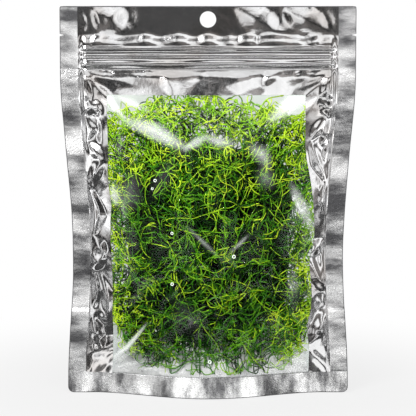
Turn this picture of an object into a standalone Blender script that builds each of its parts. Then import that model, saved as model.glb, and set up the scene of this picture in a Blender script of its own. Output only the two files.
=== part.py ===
"""A tangle of chaeto algae sealed in a stand-up zip pouch with a clear window.

Metres, +Z up. The pouch stands on the edges of its opened bottom gusset, its window faces -Y,
and the origin lies on the ground under its middle.
"""
import math
import random

import bmesh
import bpy
from mathutils import Vector, noise

MM = 0.001

# Pouch outline, in millimetres
WIDTH = 150.0
HEIGHT = 199.4
SIDE_SEAL = 9.0
BOTTOM_SEAL = 11.0
HEADER_BOTTOM = 186.5
ZIP_BOTTOM = 168.0
ZIP_TOP = 180.0
LOW_CORNER = 3.0
TOP_CORNER = 1.0

# How far each web stands out from the middle plane
DEPTH = 24.0
DEEPEST_AT = 70.0
BOTTOM_DEPTH = 16.6
BELL_FADE = 25.0
SEAL_GAP = 0.3
ZIP_SWELL = 1.2
SEAL_EASE = 8.0

# Sheets
SHEET = 0.3
FILM_INSET = 0.65
PLY_INSET = 0.6
LOW_INSET = 1.3

# Window
WINDOW_HALF = 50.5
WINDOW_TOP = 155.0
FILM_LAP = 5.0

# Creases where the side seals buckle, as heights
LEFT_CREASES = (43.3, 65.5, 81.0, 106.8, 130.0, 145.5, 168.0)
RIGHT_CREASES = (43.3, 53.6, 67.0, 83.6, 115.6, 144.0, 168.0)
SWAY = 1.5
PUCKER_IN = 0.8
PUCKER_OUT = 1.3
PUCKER_HALF = 46.0
FULL_SPAN = 24.0

# Hang hole and tear notches
HOLE_RADIUS = 4.15
HOLE_AT = 192.7
NOTCH_AT = 184.8
NOTCH_DEEP = 2.5
NOTCH_HALF = 0.7

# Gusset: length of each panel from the bottom seal to the fold
PANEL = 32.0
ARCH = 1.64
WELD_STEP = 0.7

# Zip tracks
TRACK_HALF = 62.0
TRACK_SHEET = 0.3
TRACK_FACE = 0.75
RIB_REACH = 1.2
RIB_HALF = 0.4
BARB = 0.25
FRONT_RIBS = (172.0, 176.0)
BACK_RIBS = (170.0, 174.0, 178.0)

# Algae
MASS_HALF = 55.0
MASS_TOP = 154.0
MASS_PEAK_AT = -6.0
MASS_SHOULDER = 13.0
MASS_FLOOR = 14.0
MASS_CORNER = 36.0
END_EASE = 16.0
END_SHRINK = 0.5
MASS_INSET = 4.2
MASS_GAP = 2.3
POCKET = 1.2
LUMP_SCALE = 0.075
LUMP_DEEP = 0.3
LUMP_RISE = 5.0
LOCK_RADIUS = 0.75
LOCK_CLEAR = 2.4
LOCK_TIP_TOP = 163.5
CROWN_LOCKS = 17
FLANK_LOCKS = 8
FACE_LOCKS = 10
POCKET_LOCKS = 6
POCKET_LOW = 20.0
LOCK_STEPS = 6
SEED = 9

HALF = WIDTH / 2
INNER = HALF - SIDE_SEAL
WELD = BOTTOM_SEAL + PANEL


def smooth(t):
    """Ease from 0 to 1."""
    t = min(1.0, max(0.0, t))
    return t * t * (3 - 2 * t)


def bulge(z):
    """Depth of the filled pouch on each side of its middle plane, at the middle of its width."""
    if z <= DEEPEST_AT:
        return BOTTOM_DEPTH + (DEPTH - BOTTOM_DEPTH) * math.sin(math.pi / 2 * z / DEEPEST_AT) ** 2
    t = (z - DEEPEST_AT) / (ZIP_BOTTOM - DEEPEST_AT)
    return DEPTH * max(0.0, 1 - t * t)


def half_inner(z):
    """Half the distance between the side seals: a web that bulges draws its seals in."""
    return INNER - 2 / 3 * bulge(z) ** 2 / INNER


def across(u, z):
    """World X of the flat web's coordinate u at height z."""
    if abs(u) >= INNER:
        return math.copysign(half_inner(z) + abs(u) - INNER, u)
    return half_inner(z) * u / INNER


def section(u, z):
    """Share of the bulge left at u: a bell at the bottom edge, an arc higher up."""
    s = min(1.0, abs(u) / INNER)
    bell = math.cos(math.pi / 2 * s) ** 2
    return bell + (1 - s * s - bell) * smooth(z / BELL_FADE)


def crease_phase(u, z):
    """Index of the pucker at this height and the way through it, from 0 to 1."""
    creases = RIGHT_CREASES if u > 0 else LEFT_CREASES
    for k, (low, high) in enumerate(zip(creases, creases[1:])):
        if low <= z <= high:
            return k, (z - low) / (high - low), (high - low) / FULL_SPAN
    return 0, 0.0, 0.0


def sway(u, z):
    """Shift of the whole side seal towards the back or the front, where it buckles."""
    k, t, span = crease_phase(u, z)
    near = smooth((abs(u) - PUCKER_HALF) / (INNER - PUCKER_HALF))
    return near * SWAY * math.sin(math.pi * t) * min(1.0, span) * (-1) ** k


def pucker(u, z):
    """Relief of the strip beside the seal: creases at the listed heights, pillows between."""
    if not PUCKER_HALF < abs(u) < INNER:
        return 0.0
    _, t, span = crease_phase(u, z)
    if span == 0.0:
        return 0.0
    ridge = math.sin(math.pi * (INNER - abs(u)) / (INNER - PUCKER_HALF))
    top_fade = smooth((ZIP_BOTTOM - z) / FULL_SPAN)
    return ridge * top_fade * min(1.0, span) * ((PUCKER_IN + PUCKER_OUT) * math.sin(math.pi * t) - PUCKER_IN)


def seal_share(u):
    """1 in the side seal, fading to 0 inside the pouch."""
    return smooth((abs(u) - (INNER - SEAL_EASE)) / SEAL_EASE)


def half_gap(u, z):
    """Distance of a web's middle surface from the pouch's middle plane."""
    plies = SEAL_GAP + 2 * SEAL_GAP * seal_share(u) * smooth((WELD + WELD_STEP - z) / (2 * WELD_STEP))
    swell_z = smooth((HEADER_BOTTOM - z) / (HEADER_BOTTOM - ZIP_TOP))
    swell = ZIP_SWELL * swell_z * smooth((INNER - abs(u)) / (INNER - TRACK_HALF)) * smooth(z / ZIP_BOTTOM)
    return plies + math.hypot(swell, bulge(z) * section(u, z)) + pucker(u, z)


def web_point(u, z, side, inset=0.0):
    """Point of a web, side -1 for the front and 1 for the back, moved inwards by inset."""
    def middle(a, b):
        return Vector((across(a, b), side * half_gap(a, b) + sway(a, b), b))
    place = middle(u, z)
    if inset:
        step = 0.05
        along = middle(u + step, z) - middle(u - step, z)
        up = middle(u, z + step) - middle(u, z - step)
        inwards = along.cross(up).normalized() * (-side)
        if inwards.y * side > 0:
            inwards.negate()
        place += inwards * inset
    return place


def spans(marks, counts):
    """Grid lines through the marks, with the given number of steps between them."""
    lines = [marks[0]]
    for low, high, count in zip(marks, marks[1:], counts):
        lines += [low + (high - low) * k / count for k in range(1, count + 1)]
    return lines


def web_lines():
    """Grid lines that all webs share, so that bonded sheets stay parallel."""
    side = [WINDOW_HALF, WINDOW_HALF + FILM_LAP, TRACK_HALF, INNER, HALF]
    us = spans([-s for s in reversed(side)] + side, (1, 1, 1, 1, 7, 1, 1, 1, 1))
    low = WELD - WELD_STEP
    high = WELD + WELD_STEP
    zs = spans([0.0, BOTTOM_SEAL / 2, BOTTOM_SEAL, low, high, WINDOW_TOP, WINDOW_TOP + FILM_LAP,
                ZIP_BOTTOM, ZIP_TOP, HEADER_BOTTOM, HEADER_BOTTOM + 2, HEIGHT],
               (1, 1, 4, 1, 15, 1, 1, 1, 1, 1, 1))
    return us, zs


def bent_grid(name, us, vs, place, keep=None):
    """Open grid whose lines us and vs are bent to place(u, v); keep drops faces by their middle."""
    bm = bmesh.new()
    bmesh.ops.create_grid(bm, x_segments=len(us) - 1, y_segments=len(vs) - 1, size=1.0)
    bm.verts.ensure_lookup_table()
    ordered = sorted(bm.verts, key=lambda v: (round(v.co.y, 5), round(v.co.x, 5)))
    flat = {}
    for k, vert in enumerate(ordered):
        u, v = us[k % len(us)], vs[k // len(us)]
        flat[vert] = (u, v)
        vert.co = place(u, v) * MM
    if keep:
        drop = []
        for face in bm.faces:
            mid_u = sum(flat[v][0] for v in face.verts) / len(face.verts)
            mid_v = sum(flat[v][1] for v in face.verts) / len(face.verts)
            if not keep(mid_u, mid_v):
                drop.append(face)
        bmesh.ops.delete(bm, geom=drop, context="FACES")
    mesh = bpy.data.meshes.new(name)
    bm.to_mesh(mesh)
    bm.free()
    return mesh


def material(name, colour, roughness, metallic, alpha=1.0):
    """Principled material of one kind of piece."""
    mat = bpy.data.materials.new(name)
    mat.use_nodes = True
    shader = mat.node_tree.nodes["Principled BSDF"]
    shader.inputs["Base Color"].default_value = (*colour, 1.0)
    shader.inputs["Roughness"].default_value = roughness
    shader.inputs["Metallic"].default_value = metallic
    shader.inputs["Alpha"].default_value = alpha
    return mat


def add_object(name, mesh, collection, mat=None):
    """New object in a collection."""
    obj = bpy.data.objects.new(name, mesh)
    collection.objects.link(obj)
    if mat:
        mesh.materials.append(mat)
    return obj


def thicken(obj):
    """Give a sheet its thickness, half on each side."""
    solid = obj.modifiers.new("thickness", "SOLIDIFY")
    solid.thickness = SHEET * MM
    solid.offset = 0.0


def round_corners(mesh):
    """Round the four outer corners of a flat web's mesh."""
    bm = bmesh.new()
    bm.from_mesh(mesh)
    for z, radius in ((0.0, LOW_CORNER), (HEIGHT, TOP_CORNER)):
        corners = [v for v in bm.verts if len(v.link_faces) == 1 and abs(v.co.z - z * MM) < MM
                   and abs(v.co.x) > INNER * 0.95 * MM]
        bmesh.ops.bevel(bm, geom=corners, offset=radius * MM, segments=3, profile=0.5, affect="VERTICES")
    bm.to_mesh(mesh)
    bm.free()


def cut(obj, cutter):
    """Take a cutter's shape away from an object."""
    boolean = obj.modifiers.new("cut_" + cutter.name, "BOOLEAN")
    boolean.operation = "DIFFERENCE"
    boolean.object = cutter


def make_cutters(collection):
    """Hang hole and tear notches, which go through both webs."""
    bm = bmesh.new()
    bmesh.ops.create_cone(bm, cap_ends=True, segments=24, radius1=HOLE_RADIUS * MM,
                          radius2=HOLE_RADIUS * MM, depth=20 * MM)
    mesh = bpy.data.meshes.new("hang_hole")
    bm.to_mesh(mesh)
    bm.free()
    hole = add_object("hang_hole", mesh, collection)
    hole.rotation_euler = (math.pi / 2, 0, 0)
    hole.location = (0, 0, HOLE_AT * MM)
    cutters = [hole]
    for side, label in ((-1, "left"), (1, "right")):
        bm = bmesh.new()
        bmesh.ops.create_cone(bm, cap_ends=True, segments=3, radius1=1.0 * MM, radius2=1.0 * MM,
                              depth=20 * MM)
        for vert in bm.verts:
            tip = vert.co.y > 0.9 * MM
            edge_x = HALF - NOTCH_DEEP if tip else HALF + 1.0
            half = 0.0 if tip else math.copysign(NOTCH_HALF * 1.4, vert.co.x)
            vert.co = Vector((side * edge_x, math.copysign(10.0, vert.co.z), NOTCH_AT + half)) * MM
        bmesh.ops.recalc_face_normals(bm, faces=bm.faces)
        mesh = bpy.data.meshes.new("notch_" + label)
        bm.to_mesh(mesh)
        bm.free()
        cutters.append(add_object("notch_" + label, mesh, collection))
    for cutter in cutters:
        cutter.hide_render = True
        cutter.display_type = "WIRE"
    return cutters


def in_window(u, z):
    """True inside the front web's cut-out."""
    return abs(u) < WINDOW_HALF and BOTTOM_SEAL < z < WINDOW_TOP


def make_webs(collection, cutters, foil, film):
    """Front web with its cut-out, the film behind it, and the back web."""
    us, zs = web_lines()
    mesh = bent_grid("front_foil", us, zs, lambda u, z: web_point(u, z, -1),
                     keep=lambda u, z: not in_window(u, z))
    round_corners(mesh)
    front = add_object("front_foil", mesh, collection, foil)
    mesh = bent_grid("back_foil", us, zs, lambda u, z: web_point(u, z, 1))
    round_corners(mesh)
    back = add_object("back_foil", mesh, collection, foil)
    for web in (front, back):
        thicken(web)
        for cutter in cutters:
            cut(web, cutter)
    film_us = [u for u in us if abs(u) < WINDOW_HALF + FILM_LAP + 0.1]
    film_zs = [z for z in zs if BOTTOM_SEAL / 2 - 0.1 < z < WINDOW_TOP + FILM_LAP + 0.1]
    mesh = bent_grid("window_film", film_us, film_zs, lambda u, z: web_point(u, z, -1, FILM_INSET))
    thicken(add_object("window_film", mesh, collection, film))


def gusset_half(u):
    """Half the gap that the gusset bridges at the top of the bottom seal."""
    inset = PLY_INSET + (LOW_INSET - PLY_INSET) * (1 - seal_share(u))
    return half_gap(u, BOTTOM_SEAL) - inset


def gusset_rise(u):
    """Height of the gusset's fold above the bottom seal: its panels keep their length."""
    half = min(gusset_half(u), PANEL * 0.7)
    return math.sqrt(PANEL ** 2 - ARCH * half ** 2)


def squareness(u):
    """Exponent of the arch: 1 where the gusset is open, near 0 where it is folded flat."""
    return 1 - 0.88 * smooth(1 - gusset_half(u) / BOTTOM_DEPTH * 1.15)


def gusset_side(u, z):
    """Half width of the gusset's arch at height z."""
    rise = (z - BOTTOM_SEAL) / gusset_rise(u)
    if rise >= 1:
        return 0.0
    return gusset_half(u) * math.sqrt(1 - max(0.0, rise) ** 2) ** squareness(u)


def gusset_point(u, q):
    """Point of the gusset; q runs from -2 at the front edge, over 0 at the fold, to 2."""
    side = -1 if q < 0 else 1
    inset = PLY_INSET + (LOW_INSET - PLY_INSET) * (1 - seal_share(u))
    if abs(q) >= 1:
        z = BOTTOM_SEAL * (2 - abs(q))
        return Vector((across(u, z), side * (half_gap(u, z) - inset), z))
    turn = math.pi / 2 * (1 - abs(q))
    z = BOTTOM_SEAL + gusset_rise(u) * math.sin(turn)
    y = 0.0 if q == 0 else side * gusset_half(u) * max(0.0, math.cos(turn)) ** squareness(u)
    return Vector((across(u, z), y, z - (0.4 if q == 0 else 0.0)))


def make_gusset(collection, foil):
    """Bottom web: folded, and opened into an arch between the two bottom seals."""
    us, _ = web_lines()
    qs = [-2.0, -1.5, -1.0, -0.75, -0.5, -0.25, 0.0, 0.25, 0.5, 0.75, 1.0, 1.5, 2.0]
    mesh = bent_grid("bottom_gusset", us, qs, gusset_point)
    thicken(add_object("bottom_gusset", mesh, collection, foil))


def zip_outline(side, ribs):
    """Outline (y, z) of a track: a strip with barbed ribs that reach across the middle."""
    back = side * (TRACK_FACE + TRACK_SHEET)
    face = side * TRACK_FACE
    tip = side * (TRACK_FACE - RIB_REACH)
    barb = side * (TRACK_FACE - RIB_REACH + 0.4)
    points = [(back, ZIP_TOP), (back, ZIP_BOTTOM), (face, ZIP_BOTTOM)]
    for rib in ribs:
        points += [(face, rib - RIB_HALF), (barb, rib - RIB_HALF), (barb, rib - RIB_HALF - BARB),
                   (tip, rib), (barb, rib + RIB_HALF + BARB), (barb, rib + RIB_HALF),
                   (face, rib + RIB_HALF)]
    return points + [(face, ZIP_TOP)]


def make_zip_track(name, side, ribs, collection, mat):
    """One track of the press-to-close zip, extruded across the pouch."""
    curve = bpy.data.curves.new(name, "CURVE")
    curve.dimensions = "2D"
    curve.fill_mode = "BOTH"
    curve.extrude = TRACK_HALF * MM
    outline = zip_outline(side, ribs)
    spline = curve.splines.new("POLY")
    spline.points.add(len(outline) - 1)
    for point, (y, z) in zip(spline.points, outline):
        point.co = (y * MM, z * MM, 0.0, 1.0)
    spline.use_cyclic_u = True
    track = add_object(name, curve, collection, mat)
    track.rotation_euler = (math.pi / 2, 0, math.pi / 2)


def mass_half(u, z):
    """Half thickness of the algae's dense form inside the webs."""
    gap = half_gap(u, z)
    return gap - min(MASS_INSET, 0.4 * gap)


def mass_top(u):
    """Height of the dense form at u."""
    return MASS_TOP - MASS_SHOULDER * ((u - MASS_PEAK_AT) / MASS_HALF) ** 2 + 1.5 * math.sin(u / 6.0)


def arch_height(u, y):
    """Height over the gusset at depth y, with the gap that the algae keeps to it."""
    half = gusset_half(u) + MASS_GAP
    if abs(y) >= half:
        return BOTTOM_SEAL
    cosine = (abs(y) / half) ** (1 / squareness(u))
    return BOTTOM_SEAL + gusset_rise(u) * math.sqrt(1 - cosine ** 2) + MASS_GAP


def mass_corner(u):
    """Lowest level of the algae at u: it leaves the pouch's lower corners empty."""
    power = 6 if u > 0 else 4
    return MASS_FLOOR + MASS_CORNER * (abs(u) / MASS_HALF) ** power


def pocket_floor(u):
    """Level at which the dense form fits between the gusset's panel and the web."""
    z = mass_corner(u)
    while z < WELD and mass_half(u, z) < gusset_side(u, z) + MASS_GAP + POCKET:
        z += 1.0
    return z


def mass_section(u):
    """Closed outline (y, z) of the dense form at u, straddling the gusset."""
    top = mass_top(u)
    low = pocket_floor(u)
    low_half = mass_half(u, low)
    side_points = []
    for share in (0.3, 0.6, 0.85):
        y = low_half * share
        side_points.append((y, max(mass_corner(u), arch_height(u, y))))
    first = max(low, side_points[-1][1]) + 1.5
    for k in range(7):
        z = first + (top - 4 - first) * k / 6
        side_points.append((mass_half(u, z), z))
    side_points.append((mass_half(u, top - 1) * 0.55, top - 0.8))
    front = [(-y, z) for y, z in side_points]
    crest = max(mass_corner(u), arch_height(u, 0.0))
    return [(0.0, crest)] + front + [(0.0, top)] + side_points[::-1]


def make_mass(name):
    """Dense form of the tangle: a loft of its sections, with lumps pressed into it."""
    bm = bmesh.new()
    stations = spans([-MASS_HALF, -40.0, 40.0, MASS_HALF], (4, 8, 4))
    rings = []
    for u in stations:
        ending = max(0.0, abs(u) - MASS_HALF + END_EASE) / END_EASE
        keep = 1 - END_SHRINK * (1 - math.sqrt(1 - ending ** 2))
        outline = mass_section(u)
        mid = sum(z for _, z in outline) / len(outline)
        ring = []
        for y, z in outline:
            point = Vector((across(u, z), y * keep, mid + (z - mid) * (0.5 + 0.5 * keep)))
            lump = 0.5 + 0.5 * noise.noise(point * LUMP_SCALE)
            point.y *= 1 - LUMP_DEEP * lump
            if z > mid:
                point.z -= LUMP_RISE * lump * smooth((z - mid) / (mass_top(u) - mid))
            ring.append(bm.verts.new(point * MM))
        rings.append(ring)
    for ring, following in zip(rings, rings[1:]):
        for k in range(len(ring)):
            m = (k + 1) % len(ring)
            bm.faces.new((ring[k], ring[m], following[m], following[k]))
    bm.faces.new(rings[0])
    bm.faces.new(rings[-1])
    bmesh.ops.recalc_face_normals(bm, faces=bm.faces)
    bmesh.ops.triangulate(bm, faces=bm.faces)
    mesh = bpy.data.meshes.new(name)
    bm.to_mesh(mesh)
    bm.free()
    return mesh


def hold(u, y, z, spare):
    """World point of a strand, kept clear of the webs by its own spare, and of the gusset."""
    room = max(0.3, half_gap(u, z) - LOCK_CLEAR - spare)
    y = max(-room, min(room, y))
    if z < WELD + LOCK_CLEAR:
        y = math.copysign(max(abs(y), gusset_side(u, z) + LOCK_CLEAR), y)
    return Vector((across(u, z), y, z)) * MM


def crown_lock(rng):
    """Strand that springs from the top of the tangle and arches over, or ends free."""
    u = rng.uniform(-46, 46)
    run = rng.uniform(12, 30) * (-1 if u > 24 else 1 if u < -24 else rng.choice((-1, 1)))
    rise = rng.uniform(12, 22)
    part = rng.choice((0.62, 1.0, 1.0))
    depth = rng.uniform(-0.7, 0.7)
    drift = rng.uniform(-0.4, 0.4)
    spare = rng.uniform(0, 1)
    crown = mass_top(u) - 9 + rise
    rise -= max(0.0, crown - LOCK_TIP_TOP + 2 * spare)
    points = []
    for k in range(LOCK_STEPS + 1):
        t = part * k / LOCK_STEPS
        v = u + run * t
        z = mass_top(v) - 9 + rise * math.sin(math.pi * t) ** 0.8
        points.append(hold(v, (depth + drift * t) * mass_half(v, z), z, spare))
    return points


def flank_lock(rng, side):
    """Strand that loops out of the tangle's side and back in."""
    z = rng.uniform(56, 128)
    reach = rng.uniform(4.0, 7.0)
    length = rng.uniform(18, 32) * rng.choice((-1, 1))
    depth = rng.uniform(-0.4, 0.4)
    spare = rng.uniform(0, 1)
    points = []
    for k in range(LOCK_STEPS + 1):
        t = k / LOCK_STEPS
        u = side * (MASS_HALF - 7 + (reach + 3.5) * math.sin(math.pi * t))
        height = z + length * (t - 0.5)
        points.append(hold(u, depth * mass_half(u, height), height, spare))
    return points


def face_lock(rng, side):
    """Strand that bows out of the front or back of the tangle."""
    u = rng.uniform(-34, 34)
    z = rng.uniform(50, 126)
    turn = rng.uniform(0, 2 * math.pi)
    length = rng.uniform(24, 44)
    bend = rng.uniform(-11, 11)
    spare = rng.uniform(0, 1)
    points = []
    for k in range(LOCK_STEPS + 1):
        t = k / LOCK_STEPS
        along = length * (t - 0.5)
        aside = bend * math.sin(2 * math.pi * t)
        a = u + along * math.cos(turn) - aside * math.sin(turn)
        b = z + along * math.sin(turn) + aside * math.cos(turn)
        sink = LOCK_CLEAR + (MASS_INSET + 6.5) * (1 - math.sin(math.pi * t)) ** 3
        points.append(hold(a, side * (half_gap(a, b) - sink), b, spare))
    return points


def pocket_lock(rng, side):
    """Strand that hangs down into the pocket between the gusset and a web."""
    u = rng.uniform(-20, 20)
    run = rng.uniform(14, 26) * rng.choice((-1, 1))
    spare = rng.uniform(0, 0.8)
    points = []
    for k in range(LOCK_STEPS + 1):
        t = k / LOCK_STEPS
        v = u + run * (t - 0.5)
        z = 46 - (46 - POCKET_LOW - 3 * spare) * math.sin(math.pi * t)
        deep = LOCK_CLEAR + 6.0 * smooth((z - 38) / 8)
        points.append(hold(v, side * (half_gap(v, z) - deep), z, spare))
    return points


def lock_mesh(paths):
    """Tubes along the strands' paths, as one mesh with welded caps."""
    curve = bpy.data.curves.new("locks", "CURVE")
    curve.dimensions = "3D"
    curve.bevel_depth = LOCK_RADIUS * MM
    curve.bevel_resolution = 0
    curve.use_fill_caps = True
    for path in paths:
        spline = curve.splines.new("POLY")
        spline.points.add(len(path) - 1)
        for point, place in zip(spline.points, path):
            point.co = (*place, 1.0)
    holder = bpy.data.objects.new("locks", curve)
    bpy.context.scene.collection.objects.link(holder)
    graph = bpy.context.evaluated_depsgraph_get()
    mesh = bpy.data.meshes.new_from_object(holder.evaluated_get(graph))
    bpy.data.objects.remove(holder)
    bm = bmesh.new()
    bm.from_mesh(mesh)
    bmesh.ops.remove_doubles(bm, verts=bm.verts, dist=0.01 * MM)
    bm.to_mesh(mesh)
    bm.free()
    return mesh


def make_tangle(collection, guides, algae):
    """The alga: its dense form with arching locks of strands grown together with it."""
    rng = random.Random(SEED)
    paths = [crown_lock(rng) for _ in range(CROWN_LOCKS)]
    paths += [flank_lock(rng, -1 if k % 2 else 1) for k in range(FLANK_LOCKS)]
    paths += [face_lock(rng, -1 if k % 2 else 1) for k in range(FACE_LOCKS)]
    paths += [pocket_lock(rng, -1 if k % 2 else 1) for k in range(POCKET_LOCKS)]
    locks = add_object("tangle_locks", lock_mesh(paths), guides)
    locks.hide_render = True
    locks.display_type = "WIRE"
    tangle = add_object("chaeto_tangle", make_mass("chaeto_tangle"), collection, algae)
    union = tangle.modifiers.new("locks", "BOOLEAN")
    union.operation = "UNION"
    union.use_self = True
    union.object = locks


def main():
    for obj in list(bpy.data.objects):
        bpy.data.objects.remove(obj)
    scene = bpy.context.scene
    parts = bpy.data.collections.new("chaeto_pouch")
    cutters_home = bpy.data.collections.new("cutters")
    scene.collection.children.link(parts)
    scene.collection.children.link(cutters_home)
    foil = material("metallised_foil", (0.62, 0.61, 0.61), 0.16, 1.0)
    film = material("clear_film", (0.93, 0.95, 0.96), 0.05, 0.0, 0.3)
    zip_plastic = material("zip_plastic", (0.82, 0.83, 0.84), 0.25, 0.0)
    algae = material("chaeto_green", (0.10, 0.36, 0.02), 0.35, 0.0)
    cutters = make_cutters(cutters_home)
    make_webs(parts, cutters, foil, film)
    make_gusset(parts, foil)
    make_zip_track("zip_track_front", -1, FRONT_RIBS, parts, zip_plastic)
    make_zip_track("zip_track_back", 1, BACK_RIBS, parts, zip_plastic)
    make_tangle(parts, cutters_home, algae)


main()
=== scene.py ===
"""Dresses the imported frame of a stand-up zip pouch filled with chaeto algae.

Lengths in the shape functions are millimetres; u runs across the flat web, z up it.
"""

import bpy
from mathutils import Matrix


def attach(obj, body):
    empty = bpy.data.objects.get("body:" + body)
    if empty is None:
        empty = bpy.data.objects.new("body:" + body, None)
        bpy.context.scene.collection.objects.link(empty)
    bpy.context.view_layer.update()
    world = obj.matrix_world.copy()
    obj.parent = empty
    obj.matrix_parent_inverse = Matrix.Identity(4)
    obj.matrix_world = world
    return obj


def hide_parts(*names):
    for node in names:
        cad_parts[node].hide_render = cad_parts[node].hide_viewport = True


bl_info = {
    "name": "Chaeto zip pouch",
    "version": (1, 0, 0),
    "blender": (4, 5, 0),
    "location": "View3D > Sidebar > Chaeto",
    "description": "Builds the crinkled pouch, its window film and the algae around the packed frame",
    "category": "Add Mesh",
}

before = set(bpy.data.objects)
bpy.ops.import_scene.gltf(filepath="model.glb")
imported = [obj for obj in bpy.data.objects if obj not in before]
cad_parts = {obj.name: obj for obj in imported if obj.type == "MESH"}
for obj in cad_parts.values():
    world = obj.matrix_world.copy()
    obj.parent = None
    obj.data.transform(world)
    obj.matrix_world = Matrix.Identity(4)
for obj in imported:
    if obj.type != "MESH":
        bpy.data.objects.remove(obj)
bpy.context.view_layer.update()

import math

import bmesh
import bpy
import numpy as np
from bpy.props import FloatProperty, FloatVectorProperty, IntProperty, PointerProperty
from mathutils import Vector, geometry

MM = 0.001
ROOT = "root"

# Pouch outline
HALF = 75.0
INNER = 66.0
HEIGHT = 199.4
BOTTOM_SEAL = 11.0
HEADER_BOTTOM = 186.5
ZIP_BOTTOM = 168.0
ZIP_TOP = 180.0
WELD = 43.0
WELD_STEP = 0.7
RIM = 0.4
LOW_CORNER = 3.0
TOP_CORNER = 1.0

# Depth of the webs
DEPTH = 24.0
DEEPEST_AT = 70.0
BOTTOM_DEPTH = 16.6
BELL_FADE = 25.0
SEAL_GAP = 0.3
ZIP_SWELL = 1.6
SHOULDER = 1.5
SHOULDER_EASE = 5.5
SHOULDER_FROM = 100.0
SHOULDER_RISE = 50.0
SEAL_EASE = 8.0
TRACK_HALF = 62.0

# Grid steps of the webs and of the gusset, and the turn from which an edge is shaded sharp
FRONT_STEP = 0.95
BACK_STEP = 1.6
GUSSET_STEP = 2.4
GUSSET_SHARE = 0.125
SHARP_FOLD = math.radians(55)

# Places of the materials in a web's list
FOIL = 0
SEAL = 1
LINER = 2
CUT_EDGE = 3

# Window
WINDOW_HALF = 50.5
WINDOW_TOP = 155.0
FILM_LAP = 5.0
FILM_INSET = 0.65

# Edge of the window in the foil: (z, |u|), where the film pulls the foil outwards
LEFT_EDGE = (
    (8.6, 51.6), (23.6, 51.2), (34, 51.7), (44.4, 52.6), (57.3, 53), (70.3, 53.8), (80.6, 54.2), (91, 53.9),
    (98.8, 52.8), (106.5, 53.6), (114.3, 53.8), (124.7, 52.8), (135, 52.3), (153.1, 51.5),
)
RIGHT_EDGE = (
    (8.6, 53.9), (24.7, 54.7), (32.4, 54.1), (37.6, 54.4), (44.4, 56.7), (52.1, 57.7), (59.9, 57.5),
    (66.6, 56.8), (71.3, 56.8), (76.5, 58.5), (83.2, 59.4), (91, 58.8), (98.8, 57.9), (106.5, 56.5),
    (114.3, 54.6), (122.1, 52.4), (129.8, 51), (153.1, 49.6),
)
EDGE_REACH = 14.0

# Side seal buckles
LEFT_CREASES = (10.7, 43.3, 65.5, 81.0, 106.8, 130.0, 145.5, 168.0)
RIGHT_CREASES = (10.7, 43.3, 53.6, 67.0, 83.6, 115.6, 144.0, 168.0)
SWAY = 1.5
SWAY_FROM = 46.0
FULL_SPAN = 24.0

# Hang hole and tear notches
HOLE_RADIUS = 4.15
HOLE_AT = 192.7
HOLE_EASE = 6.2
NOTCH_AT = 184.8
NOTCH_DEEP = 2.5
NOTCH_HALF = 0.7

# Gusset
PANEL = 32.0
ARCH = 1.64
FLATNESS = 0.88
PLY_INSET = 0.6
LOW_INSET = 1.3
FOLD_DIP = 0.4

# Folds of the front web: (u, z, height of the fold)
LEFT_FOLDS = (
    (-54.6, 151.0, 1.9), (-55.5, 137.5, 1.0), (-54.6, 119.7, 2.4), (-56.0, 94.0, 1.8),
    (-56.5, 73.0, 2.2), (-56.0, 54.0, 1.4), (-54.4, 38.0, 1.9), (-57.0, 24.7, 1.4),
    (-60.0, 157.0, 0.9), (-59.5, 145.5, -1.2), (-59.0, 130.0, -1.2), (-59.5, 106.8, -1.4),
    (-59.5, 81.0, -1.3), (-60.0, 65.5, -1.1), (-59.0, 43.3, -1.6), (-61.5, 31.0, 1.1),
    (-61.5, 118.0, 1.1), (-61.5, 92.0, 1.0), (-62.0, 73.5, 0.8), (-60.5, 17.0, 0.3),
    (-47.0, 160.0, -0.3), (-47.5, 144.0, 0.5), (-47.0, 128.0, -0.5), (-47.0, 109.0, 0.5),
    (-47.5, 84.0, -0.5), (-47.0, 62.0, 0.5), (-46.0, 34.5, 1.1), (-47.0, 20.0, -0.2),
    (-31.0, 36.5, 0.4), (-38.0, 26.0, -0.2),
)
RIGHT_FOLDS = (
    (49.0, 153.5, 1.2), (54.0, 130.5, 2.4), (49.0, 124.0, 0.8), (55.5, 99.5, 1.9),
    (56.4, 75.0, 2.1), (57.0, 60.3, 1.2), (57.0, 48.5, 0.9), (54.6, 25.5, 2.0),
    (59.5, 157.0, 1.0), (59.5, 144.0, -1.4), (59.5, 115.6, -1.4), (59.5, 83.6, -1.4),
    (60.0, 67.0, -1.0), (60.0, 53.6, -0.9), (59.0, 43.3, -1.4), (61.5, 130.0, 1.1),
    (61.5, 99.0, 1.1), (62.0, 75.0, 0.8), (61.5, 33.0, 1.0), (60.0, 15.0, 0.3),
    (47.0, 141.0, -0.5), (47.0, 112.0, 0.5), (47.5, 88.0, -0.5), (47.0, 64.0, 0.5),
    (47.0, 44.0, -0.4), (46.0, 18.0, 0.5),
)
BAND_FOLDS = (
    (-57.0, 162.5, -0.5), (-46.0, 162.0, 0.5), (-38.0, 158.5, -0.5), (-30.0, 163.0, 0.6),
    (-22.0, 158.0, -0.3), (-15.0, 162.0, 0.7), (-8.0, 158.0, -0.4), (2.0, 162.5, -0.6),
    (7.0, 157.5, 0.5), (13.0, 162.0, 0.6), (19.0, 158.0, -0.6), (26.0, 163.0, 0.5),
    (30.0, 158.5, -0.5), (36.0, 162.0, 0.6), (43.0, 158.5, -0.2), (50.0, 162.5, 0.6),
    (57.0, 162.0, -0.5), (-20.0, 151.0, 0.0), (20.0, 151.0, 0.0), (0.0, 150.0, 0.0),
    (-40.0, 147.0, 0.7), (40.0, 149.0, 0.9), (33.0, 143.0, 0.2),
)
# Share of those folds in the front web, and how far their creases are rounded
FACETS = 0.2
ROUNDING = 0.9

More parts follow.
